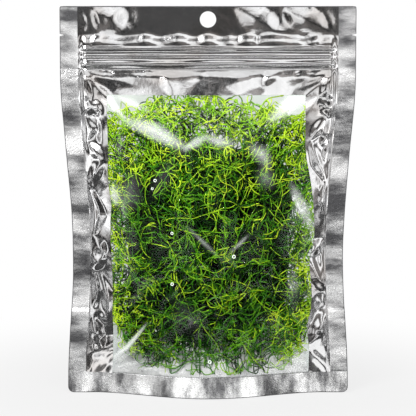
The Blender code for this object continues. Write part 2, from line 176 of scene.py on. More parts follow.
# Dents of the back web: distance, play around each place, and depth in the middle and added near the seals
BACK_FOLD_STEP = 12.0
BACK_FOLD_PLAY = 4.0
BACK_FOLD_DEEP = 0.5
BACK_FOLD_ADDED = 1.1

# Folds as (u, z) of both ends, bow of the line between them, height and half width
FRONT_RIDGES = (
    (-64.2, 167.6, -43.9, 144.2, 0.00, 1.00, 1.80), (-63.1, 168.2, -47.5, 155.2, -1.06, -0.35, 0.85),
    (-62.6, 167.6, -35.1, 159.9, -1.59, 0.35, 1.59), (-63.6, 166.1, -60.2, 148.7, 0.00, 1.00, 1.38),
    (-60.6, 163.1, -53.8, 154.0, 0.00, -0.60, 1.91), (-63.6, 145.5, -55.9, 151.4, 0.00, 1.10, 1.91),
    (-56.4, 152.4, -56.0, 142.2, 0.00, 0.90, 1.52), (-64.4, 145.0, -64.3, 129.9, 3.45, 1.50, 1.91),
    (-64.6, 145.0, -64.9, 129.9, 0.80, 0.50, 0.85), (-54.1, 146.9, -55.6, 127.4, 0.00, 0.70, 1.91),
    (-64.3, 129.9, -56.1, 121.3, 1.06, 1.20, 2.04), (-64.6, 129.9, -64.8, 107.1, 1.59, -0.60, 1.60),
    (-64.8, 107.1, -55.0, 121.8, 1.06, 1.30, 2.04), (-64.8, 107.1, -65.1, 81.2, 4.50, 1.70, 2.29),
    (-64.8, 107.1, -65.1, 81.2, 1.59, 0.70, 0.95), (-64.6, 81.3, -57.4, 73.2, 0.53, 1.30, 2.29),
    (-65.2, 64.7, -57.4, 72.7, 0.53, 1.30, 2.04), (-65.1, 81.2, -65.2, 64.7, 0.80, 0.50, 0.85),
    (-65.0, 64.7, -64.1, 43.5, 2.92, 1.20, 1.78), (-60.1, 63.1, -54.9, 38.1, 1.85, 1.20, 1.91),
    (-64.1, 43.5, -55.0, 38.6, 0.53, 0.90, 1.66), (-64.1, 43.0, -56.3, 23.9, -1.06, 1.10, 2.04),
    (-63.9, 10.4, -44.6, 28.9, 1.06, 1.40, 2.93), (-59.7, 12.7, -33.0, 38.0, -2.12, 0.70, 1.52),
    (-54.3, 12.1, -48.6, 19.8, 0.00, 0.35, 1.40), (-48.9, 12.4, -38.3, 19.3, 0.00, 0.35, 1.38),
    (-40.3, 11.9, -25.9, 15.1, 0.00, 0.30, 1.38), (63.8, 167.1, 33.4, 140.6, 0.00, 1.30, 3.18),
    (63.8, 167.1, 46.1, 158.2, 0.80, -0.40, 0.95), (63.3, 166.1, 57.1, 152.4, 0.00, 0.90, 1.38),
    (60.4, 158.9, 63.3, 152.2, 0.00, 0.60, 1.27), (56.6, 152.4, 65.0, 143.4, 0.80, 1.00, 1.78),
    (64.4, 152.2, 63.1, 147.0, 0.00, 0.50, 0.80), (60.3, 143.6, 53.6, 131.4, 0.00, 1.20, 1.66),
    (64.0, 142.4, 60.0, 128.2, 0.53, 0.90, 1.78), (53.6, 131.2, 63.9, 131.5, 2.65, -0.60, 1.40),
    (54.0, 130.1, 64.4, 110.9, -0.53, 1.40, 1.78), (63.9, 131.0, 62.8, 119.8, 0.00, 0.90, 1.27),
    (64.5, 110.2, 63.6, 95.9, -1.06, 0.90, 1.52), (65.1, 98.9, 65.1, 87.5, 0.00, 0.60, 0.85),
    (60.0, 108.7, 62.7, 91.9, 0.00, 0.50, 1.91), (65.7, 79.6, 56.3, 72.0, -0.80, 1.30, 2.04),
    (56.5, 71.8, 67.2, 52.7, -0.80, 1.30, 2.16), (62.6, 77.9, 66.3, 56.3, 0.00, 0.60, 1.27),
    (67.2, 52.1, 60.0, 44.4, 0.00, 0.90, 2.29), (66.5, 42.8, 66.6, 52.1, 0.80, 0.40, 0.85),
    (66.5, 42.3, 54.7, 24.5, -0.53, 1.40, 2.54), (54.7, 24.5, 66.2, 9.7, 0.00, 1.10, 1.66),
    (67.5, 40.7, 66.8, 10.7, -1.33, 0.90, 1.66), (47.0, 11.0, 59.1, 20.6, 0.00, 0.50, 2.12),
    (38.4, 10.4, 49.2, 16.0, 0.00, 0.40, 2.12), (-52.4, 167.4, -53.9, 164.1, 0.00, -0.30, 0.58),
    (-50.3, 167.4, -47.8, 163.7, 0.00, -0.30, 0.58), (-37.0, 167.4, -36.0, 164.2, 0.00, -0.25, 0.58),
    (-34.5, 167.4, -32.4, 164.2, 0.00, -0.30, 0.58), (-30.9, 167.4, -28.8, 164.7, 0.00, -0.25, 0.58),
    (46.4, 166.9, 43.9, 164.2, 0.00, -0.30, 0.58), (53.1, 167.4, 51.1, 165.2, 0.00, -0.25, 0.58),
    (-23.2, 167.2, -16.6, 156.1, 0.00, 0.45, 2.65), (-9.4, 155.6, -1.7, 166.2, 0.00, -0.40, 2.65),
    (14.7, 165.8, 16.3, 156.1, 0.00, 0.50, 3.18), (37.2, 167.1, 28.1, 159.4, -1.59, 0.60, 1.59),
    (24.0, 155.5, 27.5, 165.3, 0.00, -0.40, 2.65), (-31.9, 186.3, -31.9, 179.6, 0.00, 0.41, 2.12),
    (-24.2, 186.3, -24.2, 179.6, 0.00, -0.41, 2.65), (-15.0, 186.3, -15.0, 179.6, 0.00, 0.41, 2.65),
    (-6.8, 186.3, -6.8, 179.6, 0.00, -0.41, 2.65), (-0.2, 186.3, -0.2, 179.6, 0.00, 0.41, 2.39),
    (7.0, 186.3, 7.0, 179.6, 0.00, -0.41, 2.39), (14.2, 186.3, 14.2, 179.6, 0.00, -0.34, 1.59),
    (20.3, 186.3, 20.3, 179.6, 0.00, 0.41, 2.65), (24.9, 186.3, 24.9, 179.6, 0.00, -0.34, 0.95),
    (34.2, 186.3, 34.2, 179.6, 0.00, 0.41, 4.24), (47.0, 186.3, 50.0, 179.6, 0.00, -0.41, 1.59),
    (52.1, 179.6, 58.2, 186.3, 0.00, 0.41, 1.33), (56.2, 186.3, 56.2, 179.6, 0.00, -0.34, 1.85),
    (-59.5, 179.6, -53.4, 185.8, 0.00, 0.41, 1.59), (-45.2, 186.3, -43.2, 179.6, 0.00, -0.27, 4.24),
    (-60.5, 42.0, -63.5, 8.0, 0.00, 1.50, 3.00), (61.0, 42.0, 65.0, 8.0, 0.00, 1.50, 3.00),
    (-65.0, 20.0, -44.0, 31.0, 0.00, 1.40, 2.60), (44.0, 22.0, 62.0, 30.0, 0.00, 1.20, 2.60),
    (-58.0, 8.0, -50.0, 26.0, 0.00, -1.00, 2.40), (57.0, 8.0, 52.0, 24.0, 0.00, -1.00, 2.40),
)

# Folds that both webs share in the sealed header
HEADER_RIDGES = (
    (-65.7, 198.2, -61.6, 189.9, 0.00, 0.23, 0.95), (-61.6, 189.9, -64.7, 185.8, 0.00, 0.23, 0.95),
    (-57.0, 198.7, -53.4, 185.8, 0.00, 0.24, 1.06), (-59.5, 198.7, -58.5, 185.8, 0.00, -0.12, 1.59),
    (-45.2, 199.8, -53.4, 185.3, 0.00, 1.10, 6.50), (-37.5, 199.8, -44.2, 185.3, 0.00, -0.48, 3.18),
    (2.9, 198.2, 14.2, 191.5, 0.00, 0.10, 0.95), (28.5, 199.2, 21.4, 186.3, 0.00, 1.00, 7.00),
    (38.2, 199.2, 35.2, 185.8, 0.00, -0.56, 3.18), (52.6, 199.2, 47.0, 185.8, 0.00, 1.10, 7.00),
    (58.2, 199.2, 62.3, 185.8, 0.00, -0.28, 2.12),
)
# Painted highlights and patches of painted haze on the film, laid along its creases: the same values, with
# the strength in place of the height
FILM_PAINTED_HIGHLIGHTS = (
    (-59.6, 162.0, -42.4, 142.7, 0.00, 0.85, 1.70), (-49.6, 155.6, -29.2, 147.1, 0.00, 0.35, 1.38),
    (60.8, 164.0, 30.2, 141.2, 0.00, 0.80, 2.92), (47.3, 152.6, 35.1, 147.9, 0.00, 0.50, 0.64),
    (-47.1, 143.6, -9.8, 128.2, 1.59, 0.60, 2.70), (-13.5, 128.2, 0.4, 135.7, 0.00, 0.48, 1.59),
    (-3.3, 135.1, 14.7, 131.1, -0.53, 0.40, 1.75), (-58.1, 14.4, -33.0, 40.1, -2.12, 1.00, 0.90),
    (44.0, 112.4, 60.3, 82.8, 0.00, 0.50, 2.12), (45.4, 106.7, 53.3, 92.8, 0.00, 0.90, 0.42),
    (-38.1, 117.3, -49.2, 92.1, 0.00, 0.15, 4.77), (-52.1, 109.3, -50.6, 98.1, 0.00, 0.50, 1.59),
    (-12.4, 90.9, 7.7, 73.4, 0.00, 0.25, 0.95), (23.3, 86.5, 12.2, 76.6, 0.00, 0.35, 0.74),
    (45.9, 70.7, 50.1, 46.4, 0.00, 0.17, 2.65), (-20.2, 55.4, -1.8, 31.8, 0.00, 0.07, 4.24),
    (-32.2, 101.4, -16.2, 127.2, 0.00, 0.08, 3.71), (16.3, 154.1, 27.6, 157.5, 0.00, 0.20, 1.06),
    (-45.3, 138.7, -47.5, 120.9, 0.00, 0.15, 1.59), (-58.5, 15.0, -38.0, 24.0, 0.00, 0.40, 1.20),
    (-52.0, 14.0, -30.0, 19.5, 0.00, 0.35, 1.00), (-45.0, 13.5, -22.0, 15.5, 0.00, 0.30, 0.90),
    (58.0, 15.0, 40.0, 20.5, 0.00, 0.40, 1.40), (52.0, 14.0, 28.0, 16.5, 0.00, 0.30, 0.90),
    (50.0, 25.0, 46.0, 14.0, 0.00, 0.25, 1.20), (20.0, 131.0, 34.0, 118.0, 2.00, 0.30, 3.00),
    (26.0, 120.0, 36.0, 108.0, 0.00, 0.18, 3.50),
)

# How far from the side seal a fold line fades out
FOLD_END = 2.5

# Ridges that the zip presses into the webs: (height, half width, how far they stand out)
ZIP_RIDGES = (
    (178.1, 0.9, 0.6), (174.5, 0.6, 0.4), (170.3, 1.7, 1.05), (167.7, 0.5, -0.25),
)
ZIP_UNEVEN = 0.25
ZIP_WAVE = 0.11
ZIP_END = 3.0

# Algae: the room for strands, and where they grow thin towards the top
SEED = 9
ROOM_HALF = 62.0
ROOM_LOW = 9.0
ROOM_TOP = 166.0
MASS_HALF = 60.0
STRAND_TOP = 159.5
START_LOW = 12.0
START_TOP = 154.0
AIRY = 0.8
AIRY_FROM = 120.0
AIRY_RISE = 38.0
WEB_CLEARANCE = 0.25
GUSSET_CLEARANCE = 0.6

# Outline of the tangle: its top with a hump, the bowl of its underside, and its sides
OUTLINE_TOP = 148.4
HUMP = 7.0
HUMP_AT = -8.0
HUMP_HALF = 16.0
TOP_FALL = 7.0
BOWL_LOW = 3.0
BOWL_RISE = 33.0
LEFT_BOWL = (51.0, 2.9)
RIGHT_BOWL = (58.0, 3.6)
LEFT_SIDE = 56.0
RIGHT_SIDE = 58.5

# How a strand wanders: chance that its curl turns over, chance and size of a kink, drift of its curl's axis
FLIP_CHANCE = 0.10
KINK_CHANCE = 0.12
KINK = (0.5, 0.15, 0.5)
DRIFT = (0.16, 0.1, 0.16)

# How it is turned back: depth in which the outline pushes, and pull and strongest push towards its own layer
EDGE_DEPTH = 4.0
LAYER_PULL = 0.35
LAYER_PUSH = 1.2
PUSH_SHARE = 0.3

# Ends of a strand: how much it thins, from where, and the bulb at some tips
THINNING = 0.45
THIN_FROM = 0.75
BULB = 1.45
TIP_BULBS = 0.35
BRANCH_BULBS = 0.8

# Layers of strands. thin is the share of the strand radius, face the web that they lie behind, shell how deep
# they may lie behind it, forks the side branches on each strand, edges how far inside the outline they start,
# and loose how far outside it they may wander
# finish grades the green by depth as well as at random: the deep strands carry painted shade, the bright and
# thread strands against the film painted light
STRAND_LAYERS = (
    dict(name="algae_deep_strands", finish="deep", thin=0.95, count=520, face=-1, shell=11.0, steps=20,
         length=1.6, bend=(0.05, 0.25), forks=0.5, edges=(7.0, 99.0), loose=-5.0),
    dict(name="algae_middle_strands", finish="middle", thin=0.9, count=620, face=-1, shell=6.0, steps=24,
         length=1.3, bend=(0.06, 0.32), forks=1.2, edges=(4.0, 99.0), loose=-3.0),
    dict(name="algae_bright_strands", finish="bright", thin=0.85, count=300, face=-1, shell=2.6, steps=28,
         length=1.2, bend=(0.05, 0.28), forks=2.6, edges=(2.0, 99.0), loose=-1.0),
    dict(name="algae_thread_strands", finish="thread", thin=0.72, count=110, face=-1, shell=1.0, steps=34,
         length=1.2, bend=(0.02, 0.20), forks=2.0, edges=(4.0, 99.0), loose=0.0),
    dict(name="algae_rim_strands", finish="fringe", thin=0.85, count=520, face=-1, shell=8.0, steps=20,
         length=0.9, bend=(0.10, 0.45), forks=1.2, edges=(-1.0, 7.0), loose=1.0),
    dict(name="algae_fringe_strands", finish="fringe", thin=1.0, count=470, face=-1, shell=12.0, steps=22,
         length=1.0, bend=(0.12, 0.45), forks=0.9, edges=(-2.0, 99.0), loose=5.0, up=0.4, low_z=112.0),
    dict(name="algae_back_strands", finish="middle", thin=1.0, count=400, face=1, shell=6.0, steps=14,
         length=1.8, bend=(0.06, 0.28), forks=0.3, edges=(1.0, 99.0), loose=0.0),
)

# Dark core, painted shade in the heart of the tangle: how much of the solid it keeps each way, and the size
# and depth of its lumps
CORE_SCALE = (0.84, 0.7, 0.84)
CORE_LOW = 14.0
CORE_CELL = 2.0
LUMP_SIZE = 6.0
LUMP_DEPTH = 3.0
LUMP_MIDDLE = 1.1

# Stray strands at the top of the window, as (u, z) along each
STRAYS = (
    ((21.8, 139.2), (24.8, 143.8), (26.3, 147.4), (28.3, 151.1), (30.8, 153.1), (34.9, 153.9), (38.5, 154.7)),
    ((3.0, 144.3), (3.5, 149.0), (2.4, 152.6), (5.0, 154.2), (8.1, 152.1), (9.2, 148.5), (7.1, 145.4)),
    ((8.1, 150.6), (10.7, 152.6), (14.3, 152.4)),
    ((16.9, 148.0), (15.4, 144.9), (12.4, 142.3), (9.3, 140.2)),
    ((28.8, 148.5), (32.0, 146.9), (34.2, 143.3), (35.5, 138.1)),
    ((50.2, 146.4), (47.2, 144.3), (45.3, 140.7), (42.4, 136.6), (37.9, 132.9)),
    ((47.7, 143.8), (49.0, 140.2), (48.2, 136.0), (50.1, 131.9)),
    ((-47.4, 146.9), (-46.5, 144.3), (-44.5, 142.3), (-41.4, 141.2)),
    ((-45.0, 142.3), (-45.4, 145.4), (-42.6, 148.0), (-39.0, 149.0), (-35.9, 146.9), (-35.0, 143.8)),
    ((-42.6, 139.2), (-39.2, 143.3), (-34.9, 146.9), (-29.7, 148.5), (-24.5, 146.9), (-20.5, 143.3),
     (-16.9, 138.1)),
    ((-29.2, 146.4), (-27.5, 150.6), (-24.4, 153.1), (-20.8, 152.6)),
    ((-20.9, 145.4), (-21.9, 149.5), (-19.2, 152.6), (-15.6, 152.1)),
    ((-11.5, 148.5), (-9.4, 152.1), (-5.8, 153.1), (-2.7, 151.1), (-1.7, 147.4)),
    ((40.2, 129.8), (44.1, 134.0), (47.8, 134.5), (50.1, 131.4)),
    ((-50.5, 129.8), (-51.3, 134.5), (-48.4, 137.6), (-45.3, 136.6)),
)
STRAY_STEPS = 24

# Ring bubbles behind the film, each drawn only as the ring of its painted glint, as (u, z, radius), the
# limits of the small drops, and how flat both are
BUBBLES = (
    (-28.3, 112.6, 0.9), (-30.0, 108.5, 0.7), (-19.8, 86.5, 0.8), (14.3, 74.8, 1.0), (-19.8, 60.5, 0.9),
    (0.9, 19.5, 1.0),
)
DROP_HALF = 48
DROP_HEIGHTS = (20, 145)
DROP_SIZES = (0.15, 0.45)
DROP_FLAT = 0.45
DROP_GAP = 0.2
RING_FLAT = 0.12
RING_MIDDLE = 0.72
RING_THICK = 0.24
RING_STEPS = 24
RING_SIDES = 8

# Floor, in metres: radius, distance below the pouch, and the distances between which its shadows fade
FLOOR_RADIUS = 0.45
FLOOR_BELOW = 0.0002
FLOOR_NEAR = 0.04
FLOOR_FAR = 0.225

# What reflections see in the floor: scales of its patches, where the small ones end, and its dark tone
FLOOR_PATCHES = 14.0
CLOSE_PATCHES = 55.0
CLOSE_REACH = (0.13, 0.08)
FLOOR_DARK = (0.035, 0.035, 0.035, 1.0)

# Studio panels: azimuth and elevation in degrees seen from the pouch, half sizes, soft edge, brightness
STUDIO_PANELS = (
    (-24.0, 25.0, 13.0, 7.0, 4.0, 1.1),
    (10.0, 27.0, 14.0, 7.0, 4.0, 1.1),
    (0.0, -54.0, 65.0, 36.0, 6.0, 1.25),
    (0.0, 71.0, 38.0, 18.0, 4.0, 1.1),
    (0.0, -5.0, 50.0, 2.0, 3.0, 0.06),
    (15.0, -5.0, 4.0, 8.0, 3.0, 1.0),
    (-17.0, -5.0, 5.0, 8.0, 3.0, 1.0),
    (33.0, -14.0, 5.0, 8.0, 8.0, 0.8),
    (-33.0, -14.0, 5.0, 8.0, 8.0, 0.8),
    (56.0, 20.0, 1.5, 60.0, 3.5, 1.3),
    (-56.0, 20.0, 1.5, 60.0, 3.5, 1.3),
    (78.0, 10.0, 3.0, 60.0, 6.0, 1.1),
    (-78.0, 5.0, 3.0, 60.0, 6.0, 1.1),
    (70.0, -26.0, 12.0, 14.0, 5.0, 1.1),
    (-70.0, -26.0, 12.0, 14.0, 5.0, 1.1),
    (110.0, 12.0, 10.0, 40.0, 8.0, 1.0),
    (-115.0, 12.0, 10.0, 40.0, 8.0, 1.0),
    (180.0, 15.0, 30.0, 35.0, 8.0, 1.0),
    (150.0, -12.0, 22.0, 10.0, 10.0, 0.55),
    (-150.0, -12.0, 22.0, 10.0, 10.0, 0.55),
)

# Soft reflections of the room: noise scale, lowest and highest noise, brightness
ROOM_CLOUDS = ((1.7, 0.40, 0.7, 0.19), (4.5, 0.58, 0.66, 0.3))
ROOM_LIGHT = 0.012
WARM_TINT = (1.0, 0.93, 0.89, 1.0)

# Lamps: place and size in metres, power in watts, and whether reflections show them
LIGHT_AIM = (0, 0, 0.09)
STUDIO_LIGHTS = (
    ("key", (-0.45, -0.7, 0.75), (0.35, 0.3), 11.0, True),
    ("fill", (0.5, -0.9, 0.34), (0.4, 0.5), 3.5, False),
    ("top", (0.0, -0.25, 0.6), (0.3, 0.3), 2.0, False),
)


def smooth(t):
    """Ease from 0 to 1."""
    t = np.clip(t, 0.0, 1.0)
    return t * t * (3 - 2 * t)


def bulge(z):
    """Depth of the filled pouch on each side of its middle plane, at the middle of its width."""
    low = BOTTOM_DEPTH + (DEPTH - BOTTOM_DEPTH) * np.sin(np.pi / 2 * np.clip(z / DEEPEST_AT, 0, 1)) ** 2
    t = (z - DEEPEST_AT) / (ZIP_BOTTOM - DEEPEST_AT)
    return np.where(z <= DEEPEST_AT, low, DEPTH * np.maximum(0.0, 1 - t * t))


def across(u, z):
    """World x of the flat web's coordinate u at height z."""
    half = INNER - 2 / 3 * bulge(z) ** 2 / INNER
    return np.where(np.abs(u) >= INNER, np.sign(u) * (half + np.abs(u) - INNER), half * u / INNER)


def section(u, z):
    """Share of the bulge left at u."""
    s = np.minimum(1.0, np.abs(u) / INNER)
    bell = np.cos(np.pi / 2 * s) ** 2
    return bell + (1 - s * s - bell) * smooth(z / BELL_FADE)


def seal_sway(u, z):
    """Shift of the whole side seal towards the back or the front, where it buckles."""
    near = smooth((np.abs(u) - SWAY_FROM) / (INNER - SWAY_FROM))
    total = np.zeros_like(np.asarray(z, float) + u)
    for sign, creases in ((1, RIGHT_CREASES), (-1, LEFT_CREASES)):
        for k, (low, high) in enumerate(zip(creases[1:], creases[2:])):
            inside = (u * sign > 0) & (z >= low) & (z <= high)
            wave = np.sin(np.pi * (z - low) / (high - low)) * min(1.0, (high - low) / FULL_SPAN)
            total = total + np.where(inside, near * SWAY * wave * (-1) ** k, 0.0)
    return total


def seal_share(u):
    """1 in the side seal, fading to 0 inside the pouch."""
    return smooth((np.abs(u) - (INNER - SEAL_EASE)) / SEAL_EASE)


class FoldMap:
    """Height over the flat web, linear over triangles between fold points, with rounded creases."""

    def __init__(self, points):
        """Triangles between fold points, each point given as (u, z, height)."""
        flat = [Vector((p[0], p[1])) for p in points]
        verts, _, faces, origin, _, _ = geometry.delaunay_2d_cdt(flat, [], [], 0, 1e-5)
        self.corners = np.array([[(verts[i].x, verts[i].y) for i in f] for f in faces])
        self.heights = np.array([[points[origin[i][0]][2] for i in f] for f in faces])

    def sample(self, u, z):
        """Height without any rounding."""
        height = np.zeros(u.shape)
        for (a, b, c), h in zip(self.corners, self.heights):
            if not h.any():
                continue
            area = (b[0] - a[0]) * (c[1] - a[1]) - (c[0] - a[0]) * (b[1] - a[1])
            s = ((u - a[0]) * (c[1] - a[1]) - (z - a[1]) * (c[0] - a[0])) / area
            t = ((z - a[1]) * (b[0] - a[0]) - (u - a[0]) * (b[1] - a[1])) / area
            inside = (s >= 0) & (t >= 0) & (s + t < 1)
            height = np.where(inside, h[0] + s * (h[1] - h[0]) + t * (h[2] - h[0]), height)
        return height

    def __call__(self, u, z):
        """Height averaged over a small ring around each place."""
        total = self.sample(u, z) * 2
        for k in range(6):
            turn = k * math.pi / 3
            total = total + self.sample(u + ROUNDING * math.cos(turn), z + ROUNDING * math.sin(turn))
        return total / 8


def still_points():
    """Fold points of height 0: along the seals, the zip and the middle of the window."""
    points = []
    for sign, creases in ((1, RIGHT_CREASES), (-1, LEFT_CREASES)):
        for low, high in zip(creases, creases[1:]):
            points += [(sign * INNER, high, 0.0), (sign * INNER, (low + high) / 2, 0.0)]
        points += [(sign * (HALF + 2), z, 0.0) for z in (-2, 50, 100, 150, HEIGHT + 2)]
        points += [(sign * 36.0, z, 0.0) for z in (12, 50, 72, 96, 118, 134)]
    points += [(u, ZIP_BOTTOM - 0.5, 0.0) for u in range(-60, 61, 12)]
    points += [(u, 12.0, 0.0) for u in (-60, -50, -20, 0, 20, 50, 60)]
    return points + [(0.0, 60.0, 0.0), (0.0, 110.0, 0.0)]


def back_points():
    """Fold points of the back web: gentle dents over all of it, deeper near the side seals."""
    rng = np.random.default_rng(SEED)
    points = []
    for z in np.arange(22.0, 162.0, BACK_FOLD_STEP):
        for u in np.arange(-60.0, 61.0, BACK_FOLD_STEP):
            shift = rng.uniform(-BACK_FOLD_PLAY, BACK_FOLD_PLAY, 2)
            deep = BACK_FOLD_DEEP + BACK_FOLD_ADDED * smooth((abs(u) - 36) / 14)
            points.append((u + shift[0] * (abs(u) < 55), z + shift[1], rng.uniform(-1, 1) * deep))
    return points


def outer_points():
    """The still points at the edges of the pouch alone."""
    return [p for p in still_points() if abs(p[0]) > INNER - 1 or p[1] < 13 or p[1] > 165]


FRONT_MAP = FoldMap(list(LEFT_FOLDS + RIGHT_FOLDS + BAND_FOLDS) + still_points())
BACK_MAP = FoldMap(back_points() + outer_points())


def ridge_field(rows, u, z):
    """Sum of fold lines, each highest at its middle and bowed sideways."""
    total = np.zeros(np.shape(u))
    for u0, z0, u1, z1, bow, height, width in rows:
        long = math.hypot(u1 - u0, z1 - z0)
        du, dz = (u1 - u0) / long, (z1 - z0) / long
        t = np.clip(((u - u0) * du + (z - z0) * dz) / long, 0, 1)
        arch = 0.5 * np.sin(math.pi * t) + 0.5 * (1 - np.abs(2 * t - 1))
        beside = np.abs((z - z0) * du - (u - u0) * dz - bow * arch) / (width * (0.45 + 0.55 * arch))
        total = total + height * arch ** 0.8 * np.maximum(0.0, 1.07 - np.sqrt((beside / 1.9) ** 2 + 0.005))
    return total * smooth((INNER - np.abs(u)) / FOLD_END)


def half_gap(u, z, side):
    """Distance of a web's middle surface from the pouch's middle plane."""
    plies = SEAL_GAP + 2 * SEAL_GAP * seal_share(u) * smooth((WELD + WELD_STEP - z) / (2 * WELD_STEP))
    swell = (ZIP_SWELL * smooth((HEADER_BOTTOM - 0.5 - z) / (HEADER_BOTTOM - 0.5 - ZIP_TOP))
             * smooth((INNER - np.abs(u)) / (INNER - TRACK_HALF)) * smooth(z / ZIP_BOTTOM))
    folds = FACETS * FRONT_MAP(u, z) + ridge_field(FRONT_RIDGES, u, z) if side < 0 else BACK_MAP(u, z)
    ridges = 0.0
    for at, half, high in ZIP_RIDGES:
        uneven = 1 + ZIP_UNEVEN * np.sin(u * ZIP_WAVE + at)
        ridges = ridges + high * uneven * np.exp(-((z - at) / half) ** 2)
    shoulder = (SHOULDER * smooth((ZIP_BOTTOM + 0.5 - z) / SHOULDER_EASE)
                * smooth((z - SHOULDER_FROM) / SHOULDER_RISE))
    ridges = (ridges + shoulder) * smooth((INNER - np.abs(u)) / ZIP_END)
    return plies + np.maximum(0.0, np.hypot(swell, bulge(z) * section(u, z)) + folds + ridges)


def web(u, z, side):
    """Points of a web's middle surface, side -1 for the front and 1 for the back."""
    u, z = np.broadcast_arrays(np.asarray(u, float), np.asarray(z, float))
    shared = ridge_field(HEADER_RIDGES, u, z) * smooth((z - ZIP_TOP - 4) / 4) + seal_sway(u, z)
    y = side * half_gap(u, z, side) + shared
    return np.stack([across(u, z), y, z], axis=-1)


def gusset_half(u):
    """Half the gap that the gusset bridges at the top of the bottom seal."""
    inset = PLY_INSET + (LOW_INSET - PLY_INSET) * (1 - seal_share(u))
    flat = SEAL_GAP + 2 * SEAL_GAP * seal_share(u)
    return flat + bulge(np.full_like(u, BOTTOM_SEAL)) * section(u, BOTTOM_SEAL) - inset


def gusset_rise(u):
    """Height of the gusset's fold above the bottom seal."""
    return np.sqrt(PANEL ** 2 - ARCH * np.minimum(gusset_half(u), PANEL * 0.7) ** 2)


def squareness(u):
    """Exponent of the arch: 1 where the gusset is open, near 0 where it is folded flat."""
    return 1 - FLATNESS * smooth(1 - gusset_half(u) / BOTTOM_DEPTH * 1.15)


def gusset(u, q):
    """Points of the gusset; q runs from -2 at the front edge, over 0 at the fold, to 2."""
    side = np.where(q < 0, -1.0, 1.0)
    inset = PLY_INSET + (LOW_INSET - PLY_INSET) * (1 - seal_share(u))
    leg = np.abs(q) >= 1
    leg_z = BOTTOM_SEAL * (2 - np.abs(q))
    leg_y = side * (SEAL_GAP + 2 * SEAL_GAP * seal_share(u) + bulge(leg_z) * section(u, leg_z) - inset)
    turn = np.pi / 2 * (1 - np.minimum(1.0, np.abs(q)))
    arch_z = BOTTOM_SEAL + gusset_rise(u) * np.sin(turn) - FOLD_DIP * (q == 0)
    arch_y = side * gusset_half(u) * np.maximum(0.0, np.cos(turn)) ** squareness(u) * (q != 0)
    z = np.where(leg, leg_z, arch_z)
    return np.stack([across(u, z), np.where(leg, leg_y, arch_y), z], axis=-1)


def lines(marks, step):
    """Grid lines through the marks, about step apart."""
    found = [marks[0]]
    for low, high in zip(marks, marks[1:]):
        count = max(1, round((high - low) / step))
        found += [low + (high - low) * k / count for k in range(1, count + 1)]
    return np.array(found)


def round_corners(u, z):
    """Grid points near the outer corners, drawn in to a round corner."""
    for corner_z, inward, radius in ((0.0, 1, LOW_CORNER), (HEIGHT, -1, TOP_CORNER)):
        du = radius - (HALF - np.abs(u))
        dz = radius - (z - corner_z) * inward
        inside = (du > 0) & (dz > 0)
        longest = np.maximum(du, dz)
        length = np.hypot(du, dz)
        share = np.where(inside, longest / np.maximum(length, 1e-9), 1.0)
        u = np.where(inside, np.sign(u) * (HALF - radius + du * share), u)
        z = np.where(inside, corner_z + inward * (radius - dz * share), z)
    return u, z


def round_hole(u, z):
    """Grid points around the hang hole, drawn in so that its square of cells becomes a circle."""
    du, dz = u, z - HOLE_AT
    reach = np.maximum(np.abs(du), np.abs(dz))
    ease = smooth((HOLE_EASE - reach) / (HOLE_EASE - HOLE_RADIUS))
    pull = ease * (1 - reach / np.maximum(np.hypot(du, dz), 1e-9))
    return u - du * pull, z - dz * pull


def cut_notches(u, z):
    """Grid points of the side seals, drawn in to a tear notch on each side."""
    notch = np.maximum(0.0, 1 - np.abs(z - NOTCH_AT) / NOTCH_HALF) * np.maximum(0.0, np.abs(u) - INNER)
    return u - np.sign(u) * notch * NOTCH_DEEP / (HALF - INNER), z


def rounded(u, z):
    """Grid points with the pouch's round corners, hang hole and tear notches."""
    return cut_notches(*round_hole(*round_corners(u, z)))


def normals(points):
    """Unit normals of a grid of points."""
    along = np.gradient(points, axis=1)
    up = np.gradient(points, axis=0)
    normal = np.cross(along, up)
    return normal / np.linalg.norm(normal, axis=-1, keepdims=True)


def sheet_mesh(name, points, thickness, keep=None, kinds=None, inner_kind=None, inset=0.0, side=-1):
    """Closed sheet of a thickness around a grid of points; keep marks its cells, kinds their materials."""
    rows, cols = points.shape[:2]
    normal = normals(points)
    outwards = normal if side < 0 else -normal
    middle = points - outwards * inset
    outer = middle + outwards * thickness / 2
    inner = middle - outwards * thickness / 2
    if keep is None:
        keep = np.ones((rows - 1, cols - 1), bool)
    if kinds is None:
        kinds = np.zeros((rows - 1, cols - 1), int)
    index = np.arange(rows * cols).reshape(rows, cols)
    a, b, c, d = index[:-1, :-1], index[:-1, 1:], index[1:, 1:], index[1:, :-1]
    total = rows * cols
    quads, marks = [], []

    def add(corner, mask, mark):
        """Take the faces that the mask keeps, with their materials."""
        quads.append(np.stack([x[mask] for x in corner], axis=-1))
        marks.append(mark[mask])

    ring = (a, b, c, d) if side < 0 else (d, c, b, a)
    add(ring, keep, kinds)
    liner = kinds if inner_kind is None else np.where(kinds == FOIL, inner_kind, kinds)
    add(tuple(x + total for x in reversed(ring)), keep, liner)
    padded = np.pad(keep, 1)
    edges = ((a, b, padded[:-2, 1:-1]), (b, c, padded[1:-1, 2:]),
             (c, d, padded[2:, 1:-1]), (d, a, padded[1:-1, :-2]))
    for p, q, neighbour in edges:
        if side < 0:
            add((q, p, p + total, q + total), keep & ~neighbour, kinds)
        else:
            add((p, q, q + total, p + total), keep & ~neighbour, kinds)
    faces = np.concatenate(quads)
    marks = np.concatenate(marks)
    everything = np.concatenate([outer.reshape(-1, 3), inner.reshape(-1, 3)]) * MM
    used = np.unique(faces)
    renumber = np.zeros(len(everything), int)
    renumber[used] = np.arange(len(used))
    mesh = mesh_from(name, everything[used], renumber[faces])
    mesh.polygons.foreach_set("material_index", marks.astype(np.int32))
    return mesh


